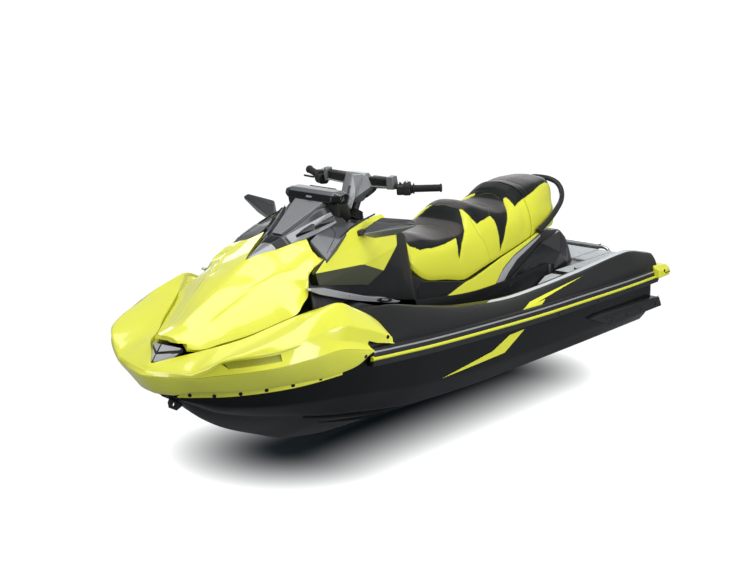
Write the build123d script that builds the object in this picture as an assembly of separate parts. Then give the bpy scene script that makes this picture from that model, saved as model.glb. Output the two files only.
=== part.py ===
from build123d import *
import math
import os

# ---------------------------------------------------------------- driving sizes (mm)
LENGTH = 3580.0            # nose to stern bumper
BEAM = 1195.0              # over the rub rails
WATERLINE = 290.0          # height of the water above the keel when afloat
DRAWN_LENGTH = 3580.0      # size that the outline tables below are drawn at
DRAWN_BEAM = 1195.0

SKIN = 20.0                # hood moulding
PANEL_GAP = 6.0            # gap round a panel that opens
HINGE_R = 4.5
HOOD_HINGE = (1668.0, 716.0)
LID_HINGE = (332.0, 970.5)
SEAT_GAP = 1.0             # cushion to its base

WELL_INNER = 272.0         # footwell, half width to its inner wall
WELL_OUTER = 448.0
WELL_FLOOR = 360.0
WELL_WALL = 15.0
WELL_REAR = -1000.0
WELL_FRONT = 750.0
FIT = 2.0                  # moulding dropped in a pocket

PLATFORM_FLOOR = 550.0
PLATFORM_HALF = 455.0
PLATFORM_REAR = -1701.0
MAT_THICK = 6.0

BAY_REAR = -600.0          # engine bay
BAY_FRONT = 300.0
BAY_HALF = 225.0
BAY_FLOOR = 140.0
ENGINE_LENGTH = 700.0
ENGINE_WIDTH = 400.0
ENGINE_HEIGHT = 355.0
HATCH_REAR = -430.0        # opening under the front seat
HATCH_FRONT = 150.0
HATCH_HALF = 120.0

BIN_WALL = 5.0             # bow storage bin
BIN_FLOOR = 440.0
BIN_RIM = 690.0

PUMP_HEIGHT = 165.0        # jet pump axis above the keel
IMPELLER_R = 80.0
IMPELLER_GAP = 1.0
PUMP_WALL = 11.0
SHAFT_R = 14.0
SHAFT_CLEAR = 6.0
TUNNEL_HALF = 200.0
TUNNEL_ROOF = 330.0
TUNNEL_FRONT = -1150.0
DUCT_HALF = 88.0           # water intake
DUCT_WALL = 20.0
DUCT_FRONT = -500.0
PUMP_REAR = -1500.0
TRANSOM = -1620.0
OUTLET_R = 44.0
OUTLET_WALL = 6.0
NOZZLE_R = 66.0
NOZZLE_WALL = 5.0
NOZZLE_PIVOT = -1575.0
NOZZLE_END = -1680.0
TRIM_GAP = 6.0
TRIM_WALL = 8.0
EAR_THICK = 8.0
BUCKET_PIVOT = -1605.0
BUCKET_R = 122.0
BUCKET_WALL = 8.0
PIN_R = 6.0
PIN_CLEAR = 0.4
MOVING_GAP = 6.0

STEP_PIVOT_X = -1722.0     # boarding step
STEP_PIVOT_Z = 400.0
STEP_HALF = 220.0
STEP_DROP = 165.0
STEP_R = 10.0

BAR_R = 11.0               # handlebar
GRIP_R = 17.0
GRIP_LENGTH = 128.0
STEER_PIVOT = (372.0, 0.0, 1040.0)
STEER_AXIS = (-0.451, 0.0, 0.893)
COLUMN_R = 22.0

RAIL_R = 14.0              # passenger grab rail
EYE_R = 10.0               # mooring eyes
EYE_THICK = 12.0

KX = LENGTH / DRAWN_LENGTH
KY = BEAM / DRAWN_BEAM

# ---------------------------------------------------------------- outline tables
# keel height, inner chine (y, z), outer chine (y, z), bond line (y, z)
HULL = [
    (-1620, 0, 455, 205, 548, 300, 548, 455),
    (-900, 0, 460, 205, 560, 300, 570, 468),
    (-100, 0, 460, 208, 562, 310, 572, 495),
    (500, 6, 440, 225, 556, 342, 570, 525),
    (850, 50, 375, 255, 530, 378, 553, 545),
    (1100, 134, 290, 285, 470, 395, 505, 530),
    (1300, 215, 190, 310, 375, 395, 415, 508),
    (1450, 300, 105, 345, 255, 398, 290, 486),
    (1580, 400, 45, 412, 110, 430, 130, 474),
    (1670, 452, 10, 455, 18, 460, 22, 470),
]
# bond line (y, z), knuckle (y, z), gunwale top (y, z)
DECK = [
    (-1700, 545, 456, 540, 520, 500, 580),
    (-1420, 556, 460, 548, 540, 497, 650),
    (-900, 570, 468, 560, 540, 500, 605),
    (-350, 572, 485, 562, 545, 497, 588),
    (100, 572, 503, 560, 570, 490, 625),
    (450, 571, 522, 556, 600, 478, 690),
    (700, 563, 535, 548, 620, 460, 740),
    (900, 547, 545, 530, 620, 430, 750),
    (1250, 445, 512, 435, 590, 300, 700),
    (1500, 245, 482, 240, 550, 150, 635),
    (1620, 75, 472, 70, 520, 50, 585),
]
# ridge height, first crease (y, z), second crease (y, z), lower edge (y, z)
HOOD = [
    (1672, 722, 28, 718, 46, 711, 60, 678),
    (1570, 738, 50, 730, 80, 712, 142, 666),
    (1500, 772, 60, 750, 98, 732, 182, 682),
    (1390, 829, 80, 812, 128, 786, 247, 708),
    (1250, 900, 115, 880, 165, 853, 317, 755),
    (1190, 931, 127, 898, 190, 873, 350, 780),
    (1120, 966, 140, 925, 220, 895, 326, 808),
    (1047, 1000, 153, 945, 282, 905, 295, 845),
    (1040, 1002, 154, 947, 281, 908, 285, 902),
    (950, 1035, 170, 977, 270, 958, 275, 951),
    (850, 1075, 190, 1010, 262, 985, 268, 978),
]
# plan of everything aft of the hood's trailing edge
HOOD_REAR = [
    (1136, 0), (1000, 68), (900, 108), (862, 128), (905, 200), (945, 300), (1047, 320), (1185, 372), (1185, 640),
    (700, 640), (700, -640), (1185, -640), (1185, -372), (1047, -320), (945, -300), (905, -200), (862, -128),
    (900, -108), (1000, -68),
]
# plan of the hood's front edge, port side
HOOD_FRONT = [(1672, 0), (1634, 84), (1606, 112)]
FAN_X = 600.0              # the nose mouldings are drawn as a fan about this point
CREASE = [
    (1790, 0, 571), (1716, 222, 579), (1672, 290, 591), (1628, 350, 600), (1580, 406, 608), (1525, 458, 617),
    (1440, 500, 623), (1362, 522, 629), (1274, 548, 637), (1160, 566, 644), (1060, 580, 628), (981, 588, 610),
    (940, 592, 604), (800, 592, 604), (740, 592, 604),
]
LIP = [
    (1716, 0, 474), (1700, 90, 478), (1672, 170, 500), (1600, 262, 502), (1500, 345, 500), (1400, 400, 502),
    (1290, 448, 505), (1180, 498, 512), (1100, 536, 526), (1030, 566, 548), (965, 586, 590), (940, 590, 600),
]
SHOULDER = [
    (1778, 0, 584), (1720, 216, 592), (1690, 270, 618), (1650, 330, 660), (1580, 398, 678), (1500, 440, 684),
    (1430, 472, 688), (1340, 505, 700), (1190, 540, 714), (1056, 562, 702), (930, 575, 682), (800, 580, 630),
    (740, 580, 630),
]
RIDGE = [
    (1766, 0, 594), (1706, 206, 608), (1664, 272, 640), (1628, 330, 672), (1562, 388, 694), (1470, 426, 716),
    (1341, 446, 744), (1224, 454, 784), (1056, 468, 812), (930, 470, 762), (800, 480, 696), (740, 478, 690),
]
CREST = [
    (1735, 0, 614), (1660, 70, 636), (1590, 146, 660), (1500, 190, 675), (1410, 250, 700),
    (1300, 305, 738), (1190, 362, 776), (1110, 412, 800), (1052, 448, 814), (930, 448, 766), (800, 446, 712),
    (740, 444, 700),
]
# windscreen cowl: ridge height, top edge (y, z), side edge (y, z), foot height
COWL = [
    (1116, 966, 5, 963, 10, 955, 940),
    (1000, 1007, 28, 1003, 52, 985, 930),
    (900, 1047, 45, 1045, 92, 1008, 930),
    (800, 1098, 62, 1092, 130, 1035, 940),
    (700, 1152, 105, 1146, 165, 1065, 950),
    (610, 1120, 110, 1110, 165, 1065, 960),
]
# cockpit console: shoulder (y, z), top edge (y, z), top centre, foot (y, z)
CONSOLE = [
    (985, 238, 895, 180, 915, 925, 290, 600),
    (930, 245, 910, 180, 925, 935, 300, 600),
    (840, 262, 945, 175, 985, 995, 310, 600),
    (700, 252, 1000, 165, 1030, 1040, 318, 600),
    (500, 240, 1045, 150, 1050, 1052, 318, 600),
    (360, 222, 1020, 140, 1024, 1024, 310, 600),
    (230, 200, 968, 120, 978, 978, 285, 600),
    (205, 196, 955, 118, 966, 966, 280, 560),
]
# seat: crown height, crown edge (y, z), flank (y, z), foot (y, z)
SEAT = [
    (196, 872, 90, 868, 175, 845, 225, 792),
    (180, 922, 118, 915, 198, 860, 236, 772),
    (60, 925, 138, 915, 215, 850, 240, 704),
    (-90, 898, 150, 888, 222, 845, 240, 680),
    (-250, 892, 152, 884, 224, 840, 240, 652),
    (-340, 920, 150, 905, 222, 850, 238, 666),
    (-400, 985, 148, 965, 220, 870, 236, 678),
    (-470, 1000, 146, 985, 218, 885, 234, 690),
    (-560, 975, 146, 960, 216, 885, 230, 706),
    (-660, 950, 146, 940, 214, 885, 228, 724),
    (-760, 958, 144, 945, 212, 890, 226, 743),
    (-840, 1015, 142, 990, 208, 905, 222, 757),
    (-880, 1038, 140, 1010, 206, 915, 220, 765),
]
REAR_SEAT = [
    (-888, 1040, 140, 1012, 206, 915, 220, 766),
    (-960, 1040, 138, 1020, 200, 920, 212, 784),
    (-1050, 1045, 134, 1028, 186, 925, 205, 806),
    (-1150, 1046, 126, 1030, 168, 925, 190, 818),
    (-1230, 1030, 112, 1018, 148, 920, 168, 824),
    (-1262, 1010, 100, 1000, 132, 915, 150, 828),
]
# seat base: side foot (y, z), side top (y, z)
PEDESTAL = [
    (202, 262, 560, 238, 765),
    (60, 266, 520, 242, 703),
    (-90, 268, 520, 242, 679),
    (-250, 268, 520, 242, 651),
    (-340, 268, 520, 240, 665),
    (-560, 268, 520, 234, 705),
    (-760, 268, 520, 228, 742),
    (-888, 266, 520, 222, 765),
    (-1000, 256, 520, 214, 792),
    (-1120, 240, 520, 200, 815),
    (-1262, 225, 520, 172, 827),
    (-1300, 210, 530, 150, 720),
    (-1385, 180, 530, 128, 610),
]
# rub rail: half width, height of its middle
RUB_RAIL = [
    (-1700, 545, 462), (-1400, 556, 466), (-900, 571, 480), (-400, 576, 492), (100, 576, 512),
    (500, 575, 532), (800, 570, 552), (930, 562, 560),
]


# ---------------------------------------------------------------- helpers
def sx(x):
    return x * KX


def sy(y):
    return y * KY


def monotone(table, count):
    """Fill a table of stations in with a monotone cubic, so that the outline is a fair curve."""
    xs = [row[0] for row in table]
    order = 1 if xs[-1] > xs[0] else -1
    wanted = sorted(set(xs + [xs[0] + (xs[-1] - xs[0]) * i / (count - 1) for i in range(count)]), reverse=order < 0)
    kept = [wanted[0]]
    for x in wanted[1:]:
        if x in xs and abs(x - kept[-1]) < 18.0 and kept[-1] not in xs:
            kept[-1] = x
        elif x in xs or abs(x - kept[-1]) >= 18.0:
            kept.append(x)
    rows = []
    for x in kept:
        rows.append(tuple([x] + [pchip(xs, [row[c] for row in table], x) for c in range(1, len(table[0]))]))
    return rows


def pchip(xs, ys, x):
    n = len(xs)
    h = [xs[i + 1] - xs[i] for i in range(n - 1)]
    d = [(ys[i + 1] - ys[i]) / h[i] for i in range(n - 1)]
    m = [d[0]]
    for i in range(1, n - 1):
        if d[i - 1] * d[i] <= 0:
            m.append(0.0)
        else:
            w1 = 2 * h[i] + h[i - 1]
            w2 = h[i] + 2 * h[i - 1]
            m.append((w1 + w2) / (w1 / d[i - 1] + w2 / d[i]))
    m.append(d[-1])
    for i in range(n - 1):
        t = (x - xs[i]) / h[i]
        if -1e-9 <= t <= 1 + 1e-9:
            a = (1 + 2 * t) * (1 - t) ** 2 * ys[i] + t * (1 - t) ** 2 * h[i] * m[i]
            return a + t * t * (3 - 2 * t) * ys[i + 1] + t * t * (t - 1) * h[i] * m[i + 1]
    return ys[-1]


def ring(points):
    return Wire.make_polygon([Vector(sx(x), sy(y), z) for x, y, z in points], close=True)


def skin(rings):
    return Solid.make_loft([ring(points) for points in rings], True)


def both(x, half):
    """Closed section at x from its port half, listed from the bottom round to the top."""
    return [(x, y, z) for y, z in half] + [(x, -y, z) for y, z in reversed(half) if y > 0]


def block(x0, x1, y0, y1, z0, z1):
    """Box in the body's drawn frame."""
    return Pos(sx((x0 + x1) / 2), sy((y0 + y1) / 2), (z0 + z1) / 2) * Box(
        sx(abs(x1 - x0)), sy(abs(y1 - y0)), abs(z1 - z0))


def solid_box(x0, x1, y0, y1, z0, z1):
    """Box in true millimetres."""
    return Pos((x0 + x1) / 2, (y0 + y1) / 2, (z0 + z1) / 2) * Box(abs(x1 - x0), abs(y1 - y0), abs(z1 - z0))


def side_plate(points, y0, y1):
    """Plate between two planes along Y, outlined by (x, z) in true millimetres."""
    wire = Wire.make_polygon([Vector(x, y0, z) for x, z in points], close=True)
    return extrude(Face(wire), amount=y1 - y0, dir=(0, 1, 0))


def rod(start, end, radius):
    a = Vector(start)
    b = Vector(end)
    return Solid.make_cylinder(radius, (b - a).length, Plane(origin=a, z_dir=(b - a).normalized()))


def pipe(start, end, outer, inner):
    return rod(start, end, outer) - rod(start, end, inner)


def tube(points, radius, bend):
    path = FilletPolyline(*points, radius=bend)
    return sweep(Plane(origin=points[0], z_dir=path % 0) * Circle(radius), path=path)


def mirrored(shape):
    return mirror(shape, about=Plane.XZ)


def gather(*shapes):
    return Compound(children=[s for shape in shapes for s in shape.solids() if s.volume > 50.0])


nodes = {}

# ---------------------------------------------------------------- hull and deck
hull_rows = monotone(HULL, 15)
hull_form = skin([both(x, [(0, zk), (yi, zi), (yi + 30, zi + 2), (yo, zo), (ys, zs)])
                  for x, zk, yi, zi, yo, zo, ys, zs in hull_rows])
deck_rows = monotone(DECK, 14)
deck_form = skin([both(x, [(ys - 25, zs - 15), (ys, zs), (yk, zk), (yt, zt)])
                  for x, ys, zs, yk, zk, yt, zt in deck_rows])

well_cut = block(WELL_REAR, WELL_FRONT, WELL_INNER, WELL_OUTER, WELL_FLOOR, 900)
well_shell = block(WELL_REAR - WELL_WALL, WELL_FRONT + WELL_WALL, WELL_INNER - WELL_WALL,
                   WELL_OUTER + WELL_WALL, WELL_FLOOR - WELL_WALL, 540)
well_pocket = block(WELL_REAR - WELL_WALL - FIT, WELL_FRONT + WELL_WALL + FIT,
                    WELL_INNER - WELL_WALL - FIT, WELL_OUTER + WELL_WALL + FIT,
                    WELL_FLOOR - WELL_WALL - FIT, 640)
engine_bay = block(BAY_REAR, BAY_FRONT, -BAY_HALF, BAY_HALF, BAY_FLOOR, 700)
tunnel = solid_box(sx(TRANSOM) - 40, sx(TUNNEL_FRONT), -TUNNEL_HALF, TUNNEL_HALF, -30, TUNNEL_ROOF)
duct = side_plate([(sx(TUNNEL_FRONT) - 20, PUMP_HEIGHT + IMPELLER_R), (sx(-1000), PUMP_HEIGHT + IMPELLER_R),
                   (sx(-520), -2), (sx(-950), -50), (sx(TUNNEL_FRONT) - 20, PUMP_HEIGHT - IMPELLER_R)],
                  -DUCT_HALF, DUCT_HALF)
shaft_bore = rod((sx(-1000), 0, PUMP_HEIGHT), (sx(BAY_REAR) + 10, 0, PUMP_HEIGHT), SHAFT_R + SHAFT_CLEAR)
duct_top = PUMP_HEIGHT + IMPELLER_R + DUCT_WALL
duct_block = block(TUNNEL_FRONT, DUCT_FRONT, -DUCT_HALF - DUCT_WALL, DUCT_HALF + DUCT_WALL, -40, duct_top)


def bin_form(inset, floor, rim):
    low = [(1010 + inset, -150 + inset), (1380 - inset, -110 + inset), (1380 - inset, 110 - inset),
           (1010 + inset, 150 - inset)]
    high = [(985 + inset, -230 + inset), (1470 - inset, -140 + inset), (1470 - inset, 140 - inset),
            (985 + inset, 230 - inset)]
    return skin([[(x, y, floor) for x, y in low], [(x, y, rim) for x, y in high]])


bin_mouth = [(985 - FIT, -230 - FIT), (1470 + FIT, -140 - FIT), (1470 + FIT, 140 + FIT), (985 - FIT, 230 + FIT)]
bin_pocket = bin_form(-FIT, BIN_FLOOR - FIT, BIN_RIM) + skin(
    [[(x, y, BIN_RIM) for x, y in bin_mouth], [(x, y, BIN_RIM + 300) for x, y in bin_mouth]])
storage_bin = bin_form(0, BIN_FLOOR, BIN_RIM) - bin_form(BIN_WALL, BIN_FLOOR + BIN_WALL, BIN_RIM + 0.01)

hull = hull_form - engine_bay - tunnel - duct_block - shaft_bore - bin_pocket
hull = hull - well_pocket - mirrored(well_pocket)
nodes["lower_hull"] = hull
duct_shell = (hull_form & duct_block) - engine_bay
duct_cheek = duct_shell & block(-1400, 0, DUCT_HALF, 300, -50, 400)
duct_roof = (duct_shell & block(-1400, 0, -DUCT_HALF, DUCT_HALF, -50, 400)) - duct - shaft_bore
nodes["intake_duct"] = gather(duct_cheek, mirrored(duct_cheek), duct_roof)

hatch = block(HATCH_REAR, HATCH_FRONT, -HATCH_HALF, HATCH_HALF, 400, 1100)
platform_cut = block(PLATFORM_REAR, WELL_REAR, -PLATFORM_HALF, PLATFORM_HALF, PLATFORM_FLOOR, 900)
liner = well_shell - well_cut - platform_cut
nodes["footwell_liners"] = gather(liner, mirrored(liner))
deck_base = deck_form - hull_form - well_shell - mirrored(well_shell)
deck_base = deck_base - well_cut - mirrored(well_cut) - platform_cut
engine_top = BAY_FLOOR + ENGINE_HEIGHT
deck = deck_base - hatch - bin_pocket - block(BAY_REAR, BAY_FRONT, -BAY_HALF, BAY_HALF, BAY_FLOOR, engine_top + FIT)
nodes["deck"] = deck
nodes["bow_storage_bin"] = storage_bin
nodes["engine_block"] = solid_box(sx(-150) - ENGINE_LENGTH / 2, sx(-150) + ENGINE_LENGTH / 2, -ENGINE_WIDTH / 2,
                                  ENGINE_WIDTH / 2, BAY_FLOOR, engine_top)


# ---------------------------------------------------------------- nose mouldings, drawn as a fan
def fan(table):
    rows = []
    for x, y, z in table:
        rows.append((math.degrees(math.atan2(y, x - FAN_X)), math.hypot(x - FAN_X, y), z))
    return rows


def at_angle(rows, angle):
    angles = [row[0] for row in rows]
    a = min(max(angle, angles[0]), angles[-1])
    return pchip(angles, [row[1] for row in rows], a), pchip(angles, [row[2] for row in rows], a)


def fan_point(radius, angle, z):
    return (FAN_X + radius * math.cos(math.radians(angle)), radius * math.sin(math.radians(angle)), z)


crease, lip, shoulder, ridge, crest = fan(CREASE), fan(LIP), fan(SHOULDER), fan(RIDGE), fan(CREST)


def fairing_ring(angle):
    rc, zc = at_angle(crease, abs(angle))
    rl, zl = at_angle(lip, abs(angle))
    points = [(rl, zl), (rc, zc), (rc - 70, zc + 2), (rl - 60, zl + 4)]
    return [fan_point(r, angle, z) for r, z in points]


def fender_ring(angle):
    rc, zc = at_angle(crease, abs(angle))
    rs, zs = at_angle(shoulder, abs(angle))
    rr, zr = at_angle(ridge, abs(angle))
    rt, zt = at_angle(crest, abs(angle))
    points = [(rc, zc + 2), (rs, zs), (rr, zr), (rt, zt), (rt - 14, zt - 4), (rt - 14, min(zt - 30, zc + 3))]
    return [fan_point(r, angle, z) for r, z in points]


LIP_END = 59.5
fairing = skin([fairing_ring(a) for a in [LIP_END * i / 12 for i in range(-12, 13)]])
nodes["bow_fairing"] = gather(fairing - deck_form - hull_form)
fender = skin([fender_ring(74.0 * i / 16) for i in range(-16, 17)])
fender = fender & block(800, 1800, -640, 640, 500, 900)
nodes["nose_fender"] = gather(fender - deck_form - hull_form - nodes["bow_fairing"])

insert_half = Solid.make_loft([
    ring([(1733, 0, 616), (1704, 0, 702), (1630, 0, 702), (1630, 0, 632)]),
    ring([(1646, 78, 655), (1641, 78, 681), (1600, 78, 681), (1600, 78, 655)]),
], True)
nose_insert = insert_half + mirrored(insert_half)
insert_rear = [(x + PANEL_GAP, y) for x, y in HOOD_FRONT] + [(1500, 112), (1500, -112)]
insert_rear = insert_rear + [(x + PANEL_GAP, -y) for x, y in reversed(HOOD_FRONT[1:])]
nose_insert = nose_insert - extrude(Face(ring([(x, y, 500) for x, y in insert_rear])), amount=800, dir=(0, 0, 1))
nodes["nose_insert"] = gather(nose_insert - nodes["nose_fender"] - deck_form)

# ---------------------------------------------------------------- hood
hood_rows = monotone(HOOD, 12)


def hood_ring(x, zr, y1, z1, y2, z2, ye, ze):
    outer = [(ye, ze), (y2, z2), (y1, z1), (0, zr)]
    inner = [(0, zr - SKIN), (y1 - 4, z1 - SKIN), (y2 - 10, z2 - SKIN), (ye - 15, ze - 12)]
    port = [(x, y, z) for y, z in outer]
    port_in = [(x, y, z) for y, z in inner]
    return (port + [(x, -y, z) for y, z in reversed(outer[:-1])]
            + [(x, -y, z) for y, z in reversed(inner[1:])] + port_in)


hood_form = skin([hood_ring(*row) for row in hood_rows])
rear_face = Face(ring([(x, y, 500) for x, y in HOOD_REAR]))
hood = hood_form - extrude(rear_face, amount=800, dir=(0, 0, 1))
front_edge = HOOD_FRONT + [(1606, 160), (1720, 160), (1720, -160), (1606, -160)]
front_edge = front_edge + [(x, -y) for x, y in reversed(HOOD_FRONT[1:])]
hood = hood - extrude(Face(ring([(x, y, 500) for x, y in front_edge])), amount=800, dir=(0, 0, 1))
hood_barrel = rod((sx(HOOD_HINGE[0]), -14, HOOD_HINGE[1]), (sx(HOOD_HINGE[0]), 14, HOOD_HINGE[1]), HINGE_R)
nodes["hood"] = gather(hood + hood_barrel)

# ---------------------------------------------------------------- cockpit
console = skin([both(x, [(yf, zf), (y1, z1), (y2, z2), (0, zt)])
                for x, y1, z1, y2, z2, zt, yf, zf in CONSOLE])
console = console - deck_form - well_shell - mirrored(well_shell)
GLOVE_REAR, GLOVE_FRONT, GLOVE_HALF, GLOVE_FLOOR = 232.0, 322.0, 88.0, 860.0
console = console - block(GLOVE_REAR, GLOVE_FRONT, -GLOVE_HALF, GLOVE_HALF, GLOVE_FLOOR, 1100)
lid_recess = block(222, 345, -GLOVE_HALF - 14, GLOVE_HALF + 14, 962, 1100)
console = console - lid_recess
glove_lid = block(228, LID_HINGE[0], -GLOVE_HALF - 8, GLOVE_HALF + 8, 963, 978)
glove_lid = glove_lid + rod((sx(LID_HINGE[0]), sy(-GLOVE_HALF - 8), LID_HINGE[1]),
                            (sx(LID_HINGE[0]), sy(GLOVE_HALF + 8), LID_HINGE[1]), 7.5)
nodes["console"] = gather(console)
nodes["glovebox_lid"] = glove_lid

cowl = skin([both(x, [(y2, zf), (y2, z2), (y1, z1), (0, zr)]) for x, zr, y1, z1, y2, z2, zf in COWL])
nodes["front_cowl"] = gather(cowl - nodes["console"])

visor_side = [(692, 1163), (680, 1218), (606, 1216), (536, 1158), (548, 1120), (640, 1118)]
visor = skin([
    [(x - 14, -172, z * 0.98 + 23) for x, z in visor_side],
    [(x, -140, z) for x, z in visor_side],
    [(x, 140, z) for x, z in visor_side],
    [(x - 14, 172, z * 0.98 + 23) for x, z in visor_side],
])
nodes["display_visor"] = gather(visor - nodes["front_cowl"] - nodes["console"])
screen = skin([
    [(x, -78, z) for x, z in ((596, 1209), (540, 1163), (534, 1170), (590, 1216))],
    [(x, 78, z) for x, z in ((596, 1209), (540, 1163), (534, 1170), (590, 1216))],
])
nodes["display_screen"] = gather(screen - nodes["display_visor"])

cover_outline = [(985, 912), (760, 1010), (470, 1098), (318, 968), (440, 838), (575, 788), (965, 850)]
cover = skin([
    [(x, 200, z) for x, z in cover_outline],
    [(x, 306 - 0.28 * (z - 850), z) for x, z in cover_outline],
])
cover = cover - nodes["console"]
nodes["side_cover_port"] = gather(cover)
nodes["side_cover_starboard"] = gather(mirrored(cover))

trim_blade = skin([
    [(1070, 322, 852), (1070, 344, 856), (1070, 344, 872), (1070, 322, 872)],
    [(750, 312, 768), (750, 346, 772), (750, 346, 796), (750, 312, 796)],
    [(450, 300, 690), (450, 338, 694), (450, 338, 716), (450, 300, 716)],
    [(400, 300, 684), (400, 316, 686), (400, 316, 694), (400, 300, 694)],
])
trim_blade = trim_blade - nodes["console"] - deck_form
nodes["cockpit_side_trims"] = gather(trim_blade, mirrored(trim_blade))

mirror_body = skin([
    [(x, 262, z) for x, z in ((690, 1015), (700, 1050), (640, 1088), (560, 1072), (575, 1010))],
    [(x, 330, z) for x, z in ((680, 1020), (688, 1056), (620, 1100), (520, 1080), (540, 1012))],
    [(x, 535, z) for x, z in ((575, 1082), (580, 1092), (562, 1102), (538, 1098), (542, 1084))],
])
mirror_stalk = skin([
    [(x, 215, z) for x, z in ((680, 990), (680, 1030), (600, 1050), (600, 1000))],
    [(x, 264, z) for x, z in ((680, 1018), (690, 1046), (610, 1072), (590, 1018))],
])
mirror_port = mirror_body + (mirror_stalk - nodes["side_cover_port"] - nodes["console"])
nodes["mirror_port"] = gather(mirror_port)
nodes["mirror_starboard"] = gather(mirrored(mirror_port))

# ---------------------------------------------------------------- steering
boot = Solid.make_cone(62, 44, 46, Plane(origin=(sx(372), 0, 1030), z_dir=STEER_AXIS))
steer_at = Vector(sx(STEER_PIVOT[0]), 0, STEER_PIVOT[2])
steer_dir = Vector(*STEER_AXIS).normalized()
column_bore = rod((steer_at - steer_dir * 60), (steer_at + steer_dir * 80), COLUMN_R + MOVING_GAP)
lid_swing = side_plate([(sx(LID_HINGE[0]) + 15, 970), (sx(LID_HINGE[0]) - 27, 1050), (sx(230), 1050), (sx(230), 970)],
                       -130, 130)
nodes["steering_boot"] = gather(boot - nodes["console"] - column_bore - lid_swing)
nodes["console"] = gather(nodes["console"] - rod((steer_at - steer_dir * 40),
                                                (steer_at + steer_dir * 80), COLUMN_R + MOVING_GAP))
bar_mid = steer_at + steer_dir * 160
column = rod((steer_at - steer_dir * 30), bar_mid, COLUMN_R)


def bar_points(side):
    bx, bz = bar_mid.X, bar_mid.Z
    return [(bx, 0, bz), (bx + 2, side * 80, bz + 6), (bx - 22, side * 190, bz + 12),
            (sx(207), side * 401, 1204)]


bar = tube([(p[0], p[1], p[2]) for p in reversed(bar_points(-1)[1:])] + bar_points(1)[1:], BAR_R, 30)
grip_end = Vector(sx(207), 401, 1204)
grip_dir = (Vector(*bar_points(1)[2]) - grip_end).normalized()
grip_start = grip_end + grip_dir * GRIP_LENGTH
grip = pipe(grip_start, (grip_end - grip_dir * 4), GRIP_R, BAR_R)
grip_cap = rod((grip_end - grip_dir * 4), (grip_end - grip_dir * 10), GRIP_R + 2)
grip = grip + grip_cap - bar
nodes["grip_port"] = gather(grip)
nodes["grip_starboard"] = gather(mirrored(grip))

cover_side = [(bar_mid.X + 72, bar_mid.Z - 78), (bar_mid.X + 62, bar_mid.Z + 20), (bar_mid.X + 22, bar_mid.Z + 72),
              (bar_mid.X - 34, bar_mid.Z + 62), (bar_mid.X - 30, bar_mid.Z - 10), (bar_mid.X + 18, bar_mid.Z - 92)]


def cover_section(y, grow, lift):
    cx = sum(p[0] for p in cover_side) / 6
    cz = sum(p[1] for p in cover_side) / 6
    return Wire.make_polygon([Vector(cx + (x - cx) * grow, y, cz + (z - cz) * grow + lift)
                              for x, z in cover_side], close=True)


bar_cover = Solid.make_loft([cover_section(-118, 0.5, 10), cover_section(-70, 0.86, 2), cover_section(0, 1, 0),
                             cover_section(70, 0.86, 2), cover_section(118, 0.5, 10)], True)
column = column - bar
bar_cover = bar_cover - bar - column
nodes["handlebar"] = gather(bar)
nodes["steering_column"] = gather(column)
nodes["handlebar_cover"] = gather(bar_cover)

pod_dir = grip_dir
pod_start = grip_start + grip_dir * 6
pod_plane = Plane(origin=pod_start, z_dir=grip_dir)
pod = pod_plane * Pos(0, 0, 28) * Box(46, 52, 56)
pod = fillet(pod.edges().filter_by(Axis(pod_start, grip_dir)), 12) - bar
nodes["switch_pod_port"] = gather(pod - bar_cover)
nodes["throttle_pod_starboard"] = gather(mirrored(pod - bar_cover))
lever_root = pod_start + Vector(30, 0, -6)
lever = tube([(lever_root.X, -lever_root.Y + 0, lever_root.Z), (lever_root.X + 22, -lever_root.Y - 30, lever_root.Z - 2),
              (lever_root.X + 6, -lever_root.Y - 96, lever_root.Z - 4)], 5, 12)
nodes["throttle_lever"] = gather(lever - mirrored(pod) - nodes["grip_starboard"])


# ---------------------------------------------------------------- seats and their base
def seat_ring(x, zc, y1, z1, y2, z2, yf, zf):
    return both(x, [(0, zf), (yf - 6, zf), (yf, zf + 22), (y2, z2), (y1, z1), (0, zc)])


front_seat = skin([seat_ring(*row) for row in SEAT])
rear_seat = skin([seat_ring(*row) for row in REAR_SEAT])
pedestal = skin([both(x, [(0, zf), (yf, zf), (yt, zt - SEAT_GAP), (0, zt - SEAT_GAP)])
                 for x, yf, zf, yt, zt in PEDESTAL])
nodes["front_seat"] = gather(front_seat)
nodes["rear_seat"] = gather(rear_seat)
pedestal = pedestal - deck_base - hatch - nodes["console"] - well_shell - mirrored(well_shell)
nodes["seat_base"] = gather(pedestal)

trim_outline = [(-10, 584), (-70, 628), (-250, 640), (-560, 694), (-1080, 796), (-1090, 742), (-640, 640),
                (-430, 520), (-330, 520)]
base_trim = skin([[(x, 205, z) for x, z in trim_outline], [(x, 316 - 0.10 * z, z) for x, z in trim_outline]])
base_trim = base_trim - nodes["seat_base"] - deck - well_shell - front_seat - rear_seat
nodes["seat_base_trims"] = gather(base_trim, mirrored(base_trim))

rail_points = [(sx(-945), 236, 770), (sx(-1010), 240, 812), (sx(-1180), 236, 872), (sx(-1305), 192, 926),
               (sx(-1335), 122, 968), (sx(-1318), 62, 1004)]
grab = tube(rail_points + [(x, -y, z) for x, y, z in reversed(rail_points)], RAIL_R, 30)
nodes["grab_rail"] = gather(grab - nodes["seat_base"] - base_trim - mirrored(base_trim))

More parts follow.
